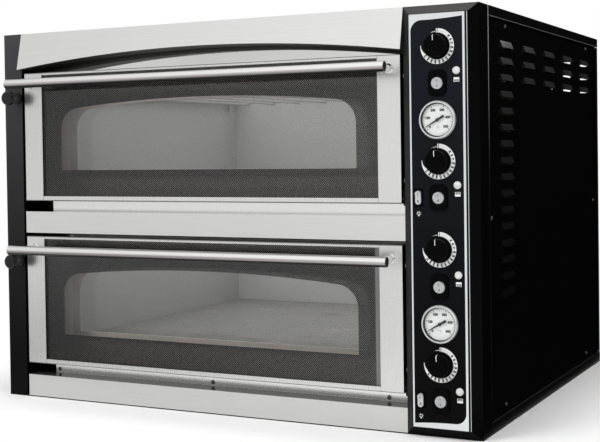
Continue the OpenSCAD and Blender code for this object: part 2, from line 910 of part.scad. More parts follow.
// Round-cornered housings with round rockers, and slim ones for the chamber lights, bored for the rockers' pivots
module switch_housings() {
  pivot_reach = rocker_d / 2 + pivot_out + pivot_room;
  slim_reach = light_w / 2 + slim_pivot_out + pivot_room;
  color("#0f0f10") union() {
    for (z = switch_z) on_panel(control_x, z) difference() {
      union() {
        rounded(switch_w, switch_h, switch_r, 2.5);
        translate([0, 0, 2.5]) rounded(switch_w - 3, switch_h - 3, switch_r - 1.5, 1);
        switch_block(switch_body);
      }
      translate([0, 0, -10]) cylinder(d = rocker_hole_d, h = 20);
      rod_along_x(pivot_d + 2 * running_gap, -pivot_reach, pivot_reach, 0, 0);
    }
    for (z = light_z) on_panel(light_x, z) difference() {
      union() {
        translate([-light_flange[0] / 2, -light_flange[1] / 2, 0]) cube(light_flange);
        switch_block(light_body);
      }
      translate([-light_w / 2 - 0.4, -light_h / 2 - 1, -9]) cube([light_w + 0.8, light_h + 2, 20]);
      rod_along_x(slim_pivot_d + 2 * running_gap, -slim_reach, slim_reach, 0, 0);
    }
  }
}

// Round key that tips on a pivot across its middle
module round_rocker(z) {
  r = rocker_d / 2;
  color("#a3a5a8") on_panel(control_x, z) rotate([rocker_rest, 0, 0]) union() {
    rotate_extrude() polygon([
      [0, -4], [r - 1.5, -4], [r, -2.5], [r, rocker_proud - 0.8], [r - 0.8, rocker_proud],
      [r - 3, rocker_proud], [0, rocker_proud - 1]
    ]);
    rod_along_x(pivot_d, -r - pivot_out, r + pivot_out, 0, 0);
  }
}

module upper_top_rocker() {
  round_rocker(switch_z[3]);
}

module upper_floor_rocker() {
  round_rocker(switch_z[2]);
}

module lower_top_rocker() {
  round_rocker(switch_z[1]);
}

module lower_floor_rocker() {
  round_rocker(switch_z[0]);
}

// Slim key with round ends and a shallow valley across its face
module light_rocker(z) {
  half = light_h / 2 + 1;
  side = light_w / 2 + 1;
  reach = light_w / 2 + slim_pivot_out;
  color("#d2d3d4") on_panel(light_x, z) rotate([rocker_rest, 0, 0]) union() {
    intersection() {
      folded(-side, side, [[-half, -1], [-half, 4.7], [0, 3.2], [half, 4.7], [half, -1], [4, -5], [-4, -5]]);
      translate([0, 0, -6]) oval(light_w, light_h, 12);
    }
    rod_along_x(slim_pivot_d, -reach, reach, 0, 0);
  }
}

module upper_light_rocker() {
  light_rocker(light_z[1]);
}

module lower_light_rocker() {
  light_rocker(light_z[0]);
}

module pilot_lamps() {
  r = lamp_d / 2;
  back = -plate_t - 14;
  color("#e9e4d8") for (z = lamp_z) on_panel(lamp_x, z) rotate_extrude() polygon([
    [0, back], [r - 2, back], [r - 2, 0], [r, 0], [r, 2], [r - 1.6, 3.8], [r - 4, 4.9], [0, 5.3]
  ]);
}

module thermometer_cases() {
  r = gauge_d / 2;
  pin = gauge_pin_d / 2;
  back = -plate_t - 18;
  color("#d6d7d9") for (z = gauge_z) on_panel(control_x, z) rotate_extrude() polygon([
    [0, back], [r - 4, back], [r - 4, 0], [r, 0], [r, 4.5], [r - 1.6, 6.6], [r - 3.6, 6.6], [r - 3.6, 5.6],
    [r - 4.6, 5.6], [r - 4.6, 1], [2.2, 1], [2.2, 2], [pin, 2], [pin, 4], [0, 4]
  ]);
}

module thermometer_lenses() {
  color([0.9, 0.95, 0.95, 0.3]) for (z = gauge_z) on_panel(control_x, z)
    translate([0, 0, 5.6]) cylinder(r = gauge_d / 2 - 3.7, h = 0.9);
}

// Slim pointer with a broad tail, turning on the case's centre post
module gauge_pointer(z) {
  lift = [0, 0, 2.4];
  color("#101011") on_panel(control_x, z) rotate([0, 0, gauge_pointer_rest]) translate(lift) difference() {
    union() {
      cylinder(d = 5, h = 1.2);
      linear_extrude(height = 0.8) polygon([[-1.1, 0], [-0.5, 23], [0.5, 23], [1.1, 0]]);
      linear_extrude(height = 0.8) polygon([[-1.2, 0], [-1.9, -13], [1.9, -13], [1.2, 0]]);
    }
    translate([0, 0, -1]) cylinder(d = gauge_pin_d + 2 * running_gap, h = 4);
  }
}

module upper_gauge_pointer() {
  gauge_pointer(gauge_z[1]);
}

module lower_gauge_pointer() {
  gauge_pointer(gauge_z[0]);
}

base_pan();
left_post();
left_side_panel();
right_side_panel();
top_cover();
back_panel();
hood();
chamber_front();
middle_band();
base_fascia();
control_bezel();
control_plate();
upper_chamber();
lower_chamber();
upper_stone();
lower_stone();
heaters();
insulation();
chamber_lamps();
door_seals();
hinge_brackets();
flue_ducts();
damper_bushes();
thermostats();
switch_housings();
pilot_lamps();
thermometer_cases();
thermometer_lenses();
cable_gland();
screws();
upper_door_frame();
upper_outer_glass();
upper_inner_panel();
upper_inner_glass();
upper_handle_bar();
upper_handle_posts();
upper_hinge_pins();
lower_door_frame();
lower_outer_glass();
lower_inner_panel();
lower_inner_glass();
lower_handle_bar();
lower_handle_posts();
lower_hinge_pins();
upper_damper_rod();
upper_damper_knob();
lower_damper_rod();
lower_damper_knob();
upper_top_knob();
upper_floor_knob();
lower_top_knob();
lower_floor_knob();
upper_top_rocker();
upper_floor_rocker();
lower_top_rocker();
lower_floor_rocker();
upper_light_rocker();
lower_light_rocker();
upper_gauge_pointer();
lower_gauge_pointer();
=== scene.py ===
"""Finishes, printed control panel, glass prints, fasteners and studio for a two-deck pizza oven."""

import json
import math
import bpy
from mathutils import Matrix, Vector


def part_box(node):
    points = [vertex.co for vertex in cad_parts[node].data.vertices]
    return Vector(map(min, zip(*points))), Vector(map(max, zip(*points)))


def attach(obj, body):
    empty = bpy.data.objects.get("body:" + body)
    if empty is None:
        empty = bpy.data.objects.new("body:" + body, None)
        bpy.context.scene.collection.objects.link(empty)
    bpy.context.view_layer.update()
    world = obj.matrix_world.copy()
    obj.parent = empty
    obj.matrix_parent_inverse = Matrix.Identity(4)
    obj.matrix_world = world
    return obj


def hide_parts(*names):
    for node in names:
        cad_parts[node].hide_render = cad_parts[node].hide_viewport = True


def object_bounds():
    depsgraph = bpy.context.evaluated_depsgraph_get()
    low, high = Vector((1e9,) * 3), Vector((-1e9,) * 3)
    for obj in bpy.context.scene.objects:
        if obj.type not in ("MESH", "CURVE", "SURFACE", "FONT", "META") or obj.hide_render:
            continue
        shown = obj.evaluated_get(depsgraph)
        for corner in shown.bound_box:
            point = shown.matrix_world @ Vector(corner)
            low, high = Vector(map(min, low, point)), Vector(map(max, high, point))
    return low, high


bl_info = {
    "name": "Two-Deck Pizza Oven Finish",
    "version": (1, 0, 0),
    "blender": (4, 5, 0),
    "location": "3D View > Sidebar > Oven",
    "description": "Dresses the solid parts of a two-deck pizza oven and sets it in a plain studio",
    "category": "Object",
}

from functools import reduce

import bmesh
import bpy
from bpy.props import FloatProperty, FloatVectorProperty, PointerProperty
from bpy.types import Operator, Panel, PropertyGroup
from mathutils import Matrix, Vector

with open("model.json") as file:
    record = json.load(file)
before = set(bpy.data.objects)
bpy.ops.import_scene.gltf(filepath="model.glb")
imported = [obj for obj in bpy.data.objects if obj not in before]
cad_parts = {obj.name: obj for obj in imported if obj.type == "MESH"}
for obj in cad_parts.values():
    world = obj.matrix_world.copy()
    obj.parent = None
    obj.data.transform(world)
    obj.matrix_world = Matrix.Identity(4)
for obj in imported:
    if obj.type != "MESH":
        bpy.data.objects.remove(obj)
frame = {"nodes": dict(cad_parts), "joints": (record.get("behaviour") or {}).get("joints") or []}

CAD_BOX = [list(corner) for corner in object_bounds()]
HALF_WIDTH, HALF_DEPTH, HEIGHT = CAD_BOX[1]
DECKS = ("upper", "lower")
ZONES = ("upper_top", "upper_floor", "lower_top", "lower_floor")
JOINT_AT = {joint["name"]: Vector(joint["pos_m"]) for joint in frame["joints"] if "pos_m" in joint}
MM = 0.001
IMAGE_W, IMAGE_H = 600.0, 442.0
SENSOR_WIDTH = 36.0
TO_FRONT = Matrix.Rotation(math.radians(90.0), 4, "X")
PILOT_REACH = 40.0 * MM
SCREW_REACH = 12.0 * MM
SHEET_THICKNESS = 0.1 * MM
OPAQUE = 1.0
BLACK = (0.0, 0.0, 0.0)
WHITE = (1.0, 1.0, 1.0)
WHITE_INK = (0.80, 0.80, 0.79)
BLACK_INK = (0.012, 0.012, 0.013)


# Shader nodes


def math_method(operation, swapped=False):
    """A method of Value that adds one Math node."""

    def method(self, other=0.0):
        return self.math(operation, *((other, self) if swapped else (self, other)))

    return method


class Value:
    """An output of a node; arithmetic on it adds Math nodes to the same tree."""

    def __init__(self, paint, socket):
        self.paint = paint
        self.socket = socket

    def math(self, operation, *terms, clamp=False):
        settings = {"operation": operation, "use_clamp": clamp}
        return self.paint.node("Math", settings, dict(enumerate(terms)))

    __add__, __radd__ = math_method("ADD"), math_method("ADD", swapped=True)
    __sub__, __rsub__ = math_method("SUBTRACT"), math_method("SUBTRACT", swapped=True)
    __mul__, __rmul__ = math_method("MULTIPLY"), math_method("MULTIPLY", swapped=True)
    __truediv__ = math_method("DIVIDE")
    __pow__ = math_method("POWER")
    __gt__ = math_method("GREATER_THAN")
    __abs__ = math_method("ABSOLUTE")
    cosine = math_method("COSINE")
    larger = math_method("MAXIMUM")

    def clamped(self):
        return self.math("ADD", self, 0.0, clamp=True)


class Paint:
    """A node tree with the few methods that the finishes are written with."""

    def __init__(self, owner):
        owner.use_nodes = True
        self.owner = owner
        self.is_world = isinstance(owner, bpy.types.World)
        self.tree = owner.node_tree
        self.tree.nodes.clear()

    def node(self, kind, settings=None, sockets=None, output=0):
        made = self.tree.nodes.new("ShaderNode" + kind)
        for name, setting in (settings or {}).items():
            if name == "stops":
                self.set_stops(made.color_ramp, setting)
            else:
                setattr(made, name, setting)
        for key, term in (sockets or {}).items():
            socket = made.inputs[key]
            if isinstance(term, Value):
                self.tree.links.new(term.socket, socket)
            else:
                socket.default_value = (*term, OPAQUE) if socket.type == "RGBA" else term
        return Value(self, made.outputs[output] if len(made.outputs) else None)

    @staticmethod
    def set_stops(ramp, stops):
        while len(ramp.elements) < len(stops):
            ramp.elements.new(1.0)
        for element, (position, colour) in zip(ramp.elements, stops):
            element.position = position
            element.color = (*colour, OPAQUE)

    def place(self, output="Object"):
        return self.node("TexCoord", None, None, output)

    def axes(self, vector):
        split = self.node("SeparateXYZ", None, {"Vector": vector})
        return [Value(self, socket) for socket in split.socket.node.outputs]

    def xyz(self, output="Object"):
        return self.axes(self.place(output))

    def rays(self):
        """Whether a ray shows the background to a viewer, and whether it is mirrored."""
        outputs = self.node("LightPath").socket.node.outputs
        kinds = ("Camera", "Glossy", "Transmission")
        camera, glossy, passing = [Value(self, outputs[f"Is {kind} Ray"]) for kind in kinds]
        return camera.larger(glossy).larger(passing), glossy

    def facing(self):
        """The flat normal in the piece's own frame, so that a finish turns with its piece."""
        flat = self.node("NewGeometry", None, None, "True Normal")
        frames = {"vector_type": "NORMAL", "convert_from": "WORLD", "convert_to": "OBJECT"}
        return self.axes(self.node("VectorTransform", frames, {"Vector": flat}))

    def noise(self, scale, detail=3.0, roughness=0.55, stretch=(1.0, 1.0, 1.0), shift=(0.0, 0.0, 0.0)):
        mapping = {"Vector": self.place(), "Scale": stretch, "Location": shift}
        mapped = self.node("Mapping", None, mapping)
        sockets = {"Vector": mapped, "Scale": scale, "Detail": detail, "Roughness": roughness}
        return self.node("TexNoise", {"noise_dimensions": "3D"}, sockets)

    def cells(self, scale, output="Distance"):
        return self.node("TexVoronoi", None, {"Vector": self.place(), "Scale": scale}, output)

    def blend(self, factor, first, second):
        return self.node("Mix", {"data_type": "RGBA"}, {0: factor, 6: first, 7: second}, 2)

    def vary(self, factor, base, low, high):
        """A colour from low to high times its base."""
        return self.blend(factor, tone(base, low), tone(base, high))

    def near(self, value, level, edge, core):
        """One where a value is closer to a level than core, nought beyond edge."""
        return self.spread(abs(value - level), edge, core)

    def spread(self, value, low, high):
        """Rises smoothly from nought at low to one at high, which may be the smaller."""
        sockets = {"Value": value, "From Min": low, "From Max": high}
        return self.node("MapRange", {"interpolation_type": "SMOOTHSTEP"}, sockets)

    def ramp(self, factor, stops):
        return self.node("ValToRGB", {"stops": stops}, {"Fac": factor})

    def relief(self, height, strength, distance, edge=0.0):
        sockets = {"Height": height, "Strength": strength, "Distance": distance}
        if edge:
            sockets["Normal"] = self.node("Bevel", {"samples": 4}, {"Radius": edge})
        return self.node("Bump", None, sockets)

    def principled(self, sockets):
        return self.node("BsdfPrincipled", None, sockets)

    def glow(self, level, strength=1.0):
        """An even grey light: a background in a world, an emission in a material."""
        kind = "Background" if self.is_world else "Emission"
        return self.node(kind, None, {"Color": (level, level, level), "Strength": strength})

    def mix_shader(self, factor, first, second):
        return self.node("MixShader", None, {0: factor, 1: first, 2: second})

    def finish(self, shader):
        kind = "OutputWorld" if self.is_world else "OutputMaterial"
        self.node(kind, None, {"Surface": shader})
        return self.owner

    def surface(self, colour, roughness, normal=None, others=None):
        """Ends the tree in one Principled BSDF."""
        sockets = {"Base Color": colour, "Roughness": roughness, **(others or {})}
        if normal:
            sockets["Normal"] = normal
        return self.finish(self.principled(sockets))


def paint_for(name):
    return Paint(bpy.data.materials.new(name))


def tone(colour, factor=1.0):
    return tuple(channel * factor for channel in colour)


# Finishes


def sprayed(paint, settings):
    """The cloud, roughness and normal of a sprayed coat with a fine orange peel."""
    peel = paint.noise(620.0, 2.0)
    cloud = paint.noise(5.0, 4.0)
    roughness = settings.paint_roughness - 0.08 + 0.06 * cloud + 0.04 * peel
    return cloud, roughness, paint.relief(peel, 0.04, 0.0002, 0.0012)


def powder_coat(settings, name, shine=0.08, painted_light_lift=0.0):
    """Black powder coat with painted light on upward sloped faces and on faces sloping left, an optional painted
    sheen that grows toward the top, and painted highlights along the seams round the side panels.
    """
    paint = paint_for(name)
    low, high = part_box("right_side_panel")
    x, y, z = paint.xyz()
    cloud, roughness, normal = sprayed(paint, settings)
    across, _, up = paint.facing()
    # Painted light: upward sloped faces, and faintly the flat tops, are lightened to a mottled grey as if lit
    # from above.
    sloped = paint.spread(up, 0.35, 0.60) * paint.spread(up, 0.97, 0.90)
    painted_top_light = (0.75 * sloped + 0.10 * paint.spread(up, 0.90, 0.97)) * (0.55 + 0.6 * cloud)
    # Painted sheen: the coat grows lighter toward the top, except on faces turned to the right.
    height = (z / HEIGHT).clamped() ** 1.6 * paint.spread(across, 0.7, 0.3)
    colour = paint.vary(height, settings.paint_tone, 1.0, 1.0 + painted_light_lift)
    colour = paint.blend(painted_top_light, colour, (0.09, 0.089, 0.086))
    # Painted light: faces sloping toward the left are lightened a little.
    beside = paint.spread(0.0 - across, 0.5, 0.6) * paint.spread(0.0 - across, 0.9, 0.8)
    colour = paint.blend(beside * 0.5, colour, (0.04, 0.04, 0.04))
    # Painted highlights: thin lines along the fold and along the top and foot seams round the side panels are
    # lightened to grey, fading toward the foot as painted light falls off.
    outer = paint.spread(abs(x), HALF_WIDTH - 1.8 * MM, HALF_WIDTH - 1.0 * MM)
    fold, seam = 3.8 * MM, 2.3 * MM
    corner = paint.near(y, low.y - fold, 2.2 * MM, 1.6 * MM)
    top = paint.near(z, high.z + seam, 0.6 * MM, 0.3 * MM)
    foot = paint.near(z, low.z - seam, 0.6 * MM, 0.3 * MM)
    painted_light_falloff = 0.02 + 0.93 * paint.spread(z, 0.40, 0.74) ** 1.3
    seams = (corner * painted_light_falloff).larger((y > low.y) * (top * 0.6).larger(foot * 0.05))
    painted_seam_highlight = outer * seams * (0.6 + 0.5 * cloud)
    colour = paint.blend(painted_seam_highlight, colour, (0.32, 0.32, 0.32))
    return paint.surface(colour, roughness, normal, {"Specular IOR Level": shine})


def side_coat(settings):
    """Black coat of the side sheets, whose clear gloss is full on the top louvres and dull on the lowest."""
    paint = paint_for("smooth side coat")
    x, y, z = paint.xyz()
    cloud, roughness, normal = sprayed(paint, settings)
    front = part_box("right_side_panel")[0].y
    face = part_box("left_side_panel")[0].x
    proud = paint.spread(abs(x), 0.2 * MM - face, 0.6 * MM - face)
    louvre = paint.spread(paint.facing()[2], 0.20, 0.30)
    foremost = paint.spread(y, front + 0.40, front + 0.14)
    topmost = louvre * paint.spread(z, 0.625, 0.672) ** 3.0 * foremost
    colour = paint.vary(cloud, settings.paint_tone, 0.8, 1.2)
    return paint.surface(colour, roughness, normal, {
        "Coat Weight": 0.24 - 0.22 * proud * paint.spread(z, 0.62, 0.30) + 0.75 * topmost,
        "Coat Roughness": settings.paint_roughness - 0.24, "Coat IOR": 2.4, "Specular IOR Level": 0.03,
    })


def brushed(paint, along, fine=1500.0, long=9.0):
    """Noise drawn out along one axis."""
    stretch = [fine, fine, fine]
    stretch["XYZ".index(along)] = long
    return paint.noise(1.0, 3.0, 0.65, tuple(stretch))


def sheet_steel(
    settings, name, along="X", rough=0.0, shade=1.0, bump=0.05, zones=(), dark=None, dark_tones=(0.003, 0.003)
):
    """Brushed stainless sheet.

    zones lists (mask, shade, roughness, metal) of faces that differ, used here for painted light and shade; dark
    masks faces darkened to dark_tones, graded from the front to the back of the hood.
    """
    paint = paint_for(name)
    grain = brushed(paint, along)
    cloud = paint.noise(4.0, 3.0)
    smear = paint.noise(14.0, 4.0, 0.6, (1.0, 1.0, 0.35))
    lines = 0.5 + (grain - 0.5) * 1.4
    base = tone(settings.steel_tone, shade)
    colour = paint.vary(lines.clamped(), base, 0.88, 1.06)
    colour = paint.blend(cloud * 0.16, colour, tone(base, 0.95))
    roughness = settings.steel_roughness + rough + 0.10 * (grain - 0.5) + 0.07 * (smear - 0.5)
    metallic = 1.0
    for zone, zone_shade, zone_rough, zone_metal in zones:
        mask = zone(paint)
        colour = paint.blend(mask, colour, tone(base, zone_shade))
        roughness = roughness * (1.0 - mask) + zone_rough * mask
        metallic = metallic * (1.0 - mask) + zone_metal * mask
    if dark:
        mask = dark(paint)
        low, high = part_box("hood")
        depth = paint.spread(paint.xyz()[1], low.y, high.y)
        near, far = [tone((1.0, 0.97, 0.94), level) for level in dark_tones]
        colour = paint.blend(mask, colour, paint.blend(depth, near, far))
        roughness = roughness * (1.0 - mask) + settings.paint_roughness * mask
        metallic = metallic * (1.0 - mask)
    normal = paint.relief(grain, bump, 0.0002, 0.0007)
    return paint.surface(colour, roughness, normal, {"Metallic": metallic, "Specular IOR Level": 0.02})


def soffit(paint):
    """The hood's underside and the lip behind it."""
    depth = paint.xyz()[1]
    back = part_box("hood")[1].y
    under = paint.spread(0.0 - paint.facing()[2], 0.2, 0.4)
    return under.larger(paint.spread(depth, back - 3.0 * MM, back - 2.5 * MM))


def ledge(paint):
    """The upward faces of a fascia."""
    return paint.spread(paint.facing()[2], 0.6, 0.8)


def sill(paint):
    """The strip that stands back under a door."""
    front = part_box("base_fascia")[0].y
    back = paint.spread(paint.xyz()[1], front + 20.0 * MM, front + 25.0 * MM)
    return back * paint.spread(paint.facing()[2], 0.8, 0.6)


def left_end(paint):
    """The left end of the chamber front."""
    return paint.spread(paint.xyz()[0], -0.05, -0.25)


def end_on(paint):
    """The end faces of a door frame."""
    return paint.spread(abs(paint.facing()[0]), 0.80, 0.92)


def rim(paint):
    """Painted shade: a dark line along the upper and lower edges of the door frames, standing in for their
    rounded edges.
    """
    edge = 0.7 * MM
    boxes = [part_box(f"{deck}_door_frame") for deck in DECKS]
    levels = [level for low, high in boxes for level in (low.z + edge, high.z - edge)]
    height = paint.xyz()[2]
    return reduce(Value.larger, [paint.near(height, level, 1.0 * MM, 0.6 * MM) for level in levels])


def turned_steel(settings):
    """Polished round bar with fine lengthwise draw marks, a painted highlight along its top and painted shade
    and reflection darkening its underside.
    """
    paint = paint_for("polished handle steel")
    draw = brushed(paint, "X", 2600.0, 5.0)
    touch = paint.noise(22.0, 3.0)
    up = paint.axes(paint.node("NewGeometry", None, None, "Normal"))[2]
    # Painted light: the colour follows how far the normal points up, bright on top and dark underneath.
    colour = paint.ramp(up * 0.5 + 0.5 + 0.04 * (draw - 0.5), (
        (0.05, (0.012, 0.011, 0.011)), (0.22, (0.05, 0.047, 0.046)), (0.30, (0.36, 0.34, 0.33)),
        (0.48, (0.58, 0.56, 0.55)), (0.60, (0.95, 0.94, 0.93)), (0.80, (0.95, 0.94, 0.93)),
        (0.96, (0.66, 0.65, 0.64)),
    ))
    rough = settings.handle_roughness + 0.06 * (draw - 0.5) + 0.05 * (touch - 0.5)
    return paint.surface(colour, rough, paint.relief(draw, 0.04, 0.0002, 0.0006), {"Metallic": 1.0})


def plain_steel(name, base=(0.52, 0.52, 0.51), rough=0.32, metal=1.0):
    """Zinc-plated steel with a faint crystalline variation."""
    paint = paint_for(name)
    flake = paint.cells(90.0, "Color")
    cloud = paint.noise(60.0, 4.0)
    colour = paint.vary(cloud, base, 0.82, 1.12)
    colour = paint.blend(0.14, colour, paint.blend(0.8, flake, base))
    normal = paint.relief(cloud, 0.08, 0.0003, 0.0003)
    return paint.surface(colour, rough + 0.16 * cloud, normal, {"Metallic": metal})


def chamber_steel(settings, name, shade=1.0, lip=None):
    """Aluminised sheet, dulled and faintly browned by heat toward the back, with painted shade darkening its
    side walls; lip colours its front faces.
    """
    paint = paint_for(name)
    _, depth, rise = paint.xyz()
    stain = paint.noise(7.0, 5.0, 0.6)
    speck = paint.noise(240.0, 2.0)
    warmth = paint.spread(depth, -0.32, 0.36) * stain
    base = tone(settings.chamber_tone, shade)
    colour = paint.vary(stain, base, 0.92, 1.08)
    across, behind, _ = paint.facing()
    # Painted shade: the side walls are darkened, more in the lower chamber.
    painted_wall_shade = paint.spread(abs(across), 0.6, 0.8) * (0.22 + 0.16 * paint.spread(rise, 0.38, 0.34))
    colour = paint.blend(painted_wall_shade, colour, BLACK)
    colour = paint.blend(warmth * 0.3, colour, (0.34, 0.31, 0.27))
    if lip:
        colour = paint.blend(paint.spread(0.0 - behind, 0.6, 0.8), colour, lip)
    return paint.surface(colour, 0.48 + 0.16 * stain, paint.relief(speck, 0.10, 0.0004), {"Metallic": 0.35})


def baking_stone(settings):
    """Cast refractory stone: warm, granular, with flour marks and darker bake spots."""
    paint = paint_for("refractory baking stone")
    grit = paint.noise(420.0, 4.0, 0.7)
    pebble = paint.cells(260.0)
    bake = paint.noise(9.0, 5.0, 0.6)
    flour = paint.spread(paint.noise(16.0, 5.0, 0.7, shift=(3.0, 1.0, 0.0)), 0.56, 0.74)
    colour = paint.vary(grit, settings.stone_tone, 0.70, 1.22)
    colour = paint.blend(paint.spread(bake, 0.52, 0.75) * 0.5, colour, (0.10, 0.085, 0.07))
    colour = paint.blend(flour * 0.3, colour, (0.40, 0.39, 0.365))
    front = paint.spread(0.0 - paint.facing()[1], 0.6, 0.8)
    colour = paint.blend(front * 0.8, colour, (0.40, 0.335, 0.28))
    return paint.surface(colour, 0.86 + 0.1 * grit, paint.relief(grit + 0.4 * pebble, 0.5, 0.0008, 0.001))


def heater_sheath():
    """Sheathed element with heat-blued bands along its length."""
    paint = paint_for("heat blued element sheath")
    band = paint.noise(18.0, 3.0)
    scale = paint.noise(300.0, 3.0)
    colour = paint.ramp(band, (
        (0.30, (0.38, 0.37, 0.36)), (0.50, (0.44, 0.43, 0.41)), (0.66, (0.37, 0.373, 0.38)),
    ))
    return paint.surface(colour, 0.44 + 0.2 * scale, paint.relief(scale, 0.2, 0.0004), {"Metallic": 0.4})


def mineral_wool():
    """Matted insulation slab with short crossing fibres."""
    paint = paint_for("matted mineral wool")
    lengthwise = brushed(paint, "X", 700.0, 60.0)
    across = brushed(paint, "Y", 700.0, 60.0)
    tuft = paint.noise(38.0, 4.0)
    fibre = lengthwise.larger(across)
    colour = paint.blend(fibre, (0.36, 0.30, 0.15), (0.66, 0.58, 0.34))
    colour = paint.blend(tuft * 0.4, colour, (0.44, 0.40, 0.28))
    return paint.surface(colour, 0.92 + 0.06 * fibre, paint.relief(fibre + tuft, 0.7, 0.002))


def rope_seal():
    """Braided glass-fibre door rope, grey with dark soot between the strands."""
    paint = paint_for("braided rope seal")
    x, y, z = paint.xyz()
    turn = 1400.0
    twist = ((x + z + y * 0.5) * turn).cosine() * ((x - z) * turn).cosine()
    strand = paint.spread(twist, -0.5, 0.7)
    soot = paint.noise(40.0, 3.0)
    colour = paint.blend(strand, (0.035, 0.034, 0.032), (0.19, 0.185, 0.175))
    colour = paint.blend(soot * 0.5, colour, (0.06, 0.055, 0.05))
    return paint.surface(colour, 0.85 + 0.1 * soot, paint.relief(strand, 0.6, 0.0008))


def moulded(name, base, rough=0.42, shine=0.5):
    """Moulded plastic with spark-eroded grain."""
    paint = paint_for(name)
    spark = paint.noise(900.0, 2.0)
    wear = paint.noise(45.0, 4.0)
    colour = paint.vary(wear, base, 0.86, 1.16)
    roughness = rough + 0.10 * (wear - 0.5) + 0.06 * (spark - 0.5)
    normal = paint.relief(spark, 0.14, 0.0002, 0.0005)
    return paint.surface(colour, roughness, normal, {"Specular IOR Level": shine})


def pane(name, tint, smear_scale, edge_tone=None):
    """Clear sheet glass: a tinted see-through body under a reflection that grows toward grazing."""
    paint = paint_for(name)
    grazing = paint.node("LayerWeight", None, {"Blend": 0.5}, "Facing")
    smear = paint.noise(smear_scale, 4.0, 0.6)
    mirror = 0.025 + 0.9 * grazing ** 5.0
    gloss = paint.principled({"Base Color": WHITE, "Metallic": 1.0, "Roughness": 0.02 + 0.05 * smear})
    clear = paint.node("BsdfTransparent", None, {"Color": tone(tint)})
    shader = paint.mix_shader(mirror, clear, gloss)
    if edge_tone:
        cut = paint.spread(abs(paint.facing()[2]), 0.4, 0.6)
        ground = paint.principled({"Base Color": edge_tone, "Roughness": 0.35 + 0.2 * smear})
        shader = paint.mix_shader(cut * 0.75, shader, ground)
    return paint.finish(shader)


def dot_print(settings, sizes):
    """Dark ceramic print on the door glass with fine clear dots, solid at its edges and under the window, and
    lightened toward its right side by a painted reflection.
    """
    paint = paint_for("dotted ceramic glass print")
    x, _, z = paint.xyz()
    turn = math.tau / (settings.dot_pitch * math.sqrt(2.0))
    wave = ((x + z) * turn).cosine() + ((x - z) * turn).cosine()
    dots = paint.spread(wave, settings.dot_clear + 0.25, settings.dot_clear - 0.25)
    across, _, up = paint.xyz("Generated")
    aside = abs(across - 0.5)
    sides = paint.spread(aside, 0.484, 0.487)
    ends = paint.spread(up, 0.05, 0.04).larger(paint.spread(up, 0.87, 0.89))
    low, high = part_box("upper_outer_glass")
    height = high.z - low.z
    foot = (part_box("upper_door_frame")[0].z + sizes.window_rise - low.z) / height
    drop = sizes.strip_height / height
    strip = paint.spread(up, foot - drop, foot - 0.8 * drop) * paint.spread(up, foot + 0.03, foot + 0.02)
    strip = strip * paint.spread(aside, 0.48, 0.46)
    # Painted reflection: a solid strip along the right edge of the lower door's print is made much lighter.
    lower_door = paint.spread(z, low.z, low.z - 20.0 * MM)
    margin = paint.spread(x, high.x - 23.0 * MM, high.x - 22.0 * MM) * lower_door
    cloud = paint.noise(9.0, 3.0)
    base = settings.print_tone
    colour = paint.vary(cloud, base, 0.85, 1.15)
    # Painted reflection: the print grows lighter toward its right side.
    colour = paint.blend(paint.spread(across, 0.55, 0.95), colour, tone(base, 24.0))
    colour = paint.blend(margin, colour, tone(base, 42.0))
    cover = reduce(Value.larger, (dots, sides, ends, strip, margin))
    return paint.surface(colour, 0.42 + 0.1 * cloud, None, {"Alpha": cover, "Specular IOR Level": 0.1})


def ink(name, base, rough=0.5, shine=0.2):
    """Screen-printed ink with a slightly uneven film."""
    paint = paint_for(name)
    mottle = paint.noise(700.0, 3.0)
    fade = paint.noise(30.0, 3.0)
    colour = paint.vary(mottle * 0.5 + fade * 0.5, base, 0.90, 1.06)
    normal = paint.relief(mottle, 0.05, 0.0001)
    return paint.surface(colour, rough + 0.1 * (mottle - 0.5), normal, {"Specular IOR Level": shine})


def lens(name, base, glow):
    """Ribbed translucent lamp lens."""
    paint = paint_for(name)
    x, _, z = paint.xyz()
    turn = 5200.0
    ribs = ((x - z) * turn).cosine()
    haze = paint.noise(180.0, 3.0)
    colour = paint.vary(haze, base, 0.85, 1.1)
    return paint.surface(colour, 0.18 + 0.14 * haze, paint.relief(ribs, 0.2, 0.0002, 0.0004), {
        "Transmission Weight": 0.25, "Emission Color": base, "Emission Strength": glow,
    })


def dress(material, *nodes):
    """Gives CAD nodes a finish."""
    for name in nodes:
        coat(frame["nodes"][name].data, material)


def coat(mesh, material):
    mesh.materials.clear()
    mesh.materials.append(material)


# Meshes


def circle(radius, centre=(0.0, 0.0), steps=48):
    return arc(centre, radius, 0.0, 360.0, steps)[:-1]


def arc(centre, radius, start, end, steps):
    """Points on an arc, in degrees counter-clockwise from the right."""
    turns = [math.radians(start + (end - start) * i / steps) for i in range(steps + 1)]
    return [(centre[0] + radius * math.cos(a), centre[1] + radius * math.sin(a)) for a in turns]


def clock(radius, degrees):
    """A point at a clock angle, in degrees clockwise from the top."""
    return radius * math.sin(math.radians(degrees)), radius * math.cos(math.radians(degrees))


def rectangle(width, height, centre=(0.0, 0.0)):
    x, z = centre
    return [
        (x - width / 2, z - height / 2), (x + width / 2, z - height / 2),
        (x + width / 2, z + height / 2), (x - width / 2, z + height / 2),
    ]


def rounded_outline(width, height, radius, centre=(0.0, 0.0)):
    """An upright outline with four round corners."""
    x, z = centre
    outline = []
    for side, way, start in ((1, 1, 0.0), (-1, 1, 90.0), (-1, -1, 180.0), (1, -1, 270.0)):
        corner = (x + side * (width / 2 - radius), z + way * (height / 2 - radius))
        outline += arc(corner, radius, start, start + 90.0, 10)
    return outline


def shifted(outline, rise):
    return [(x, z + rise) for x, z in outline]


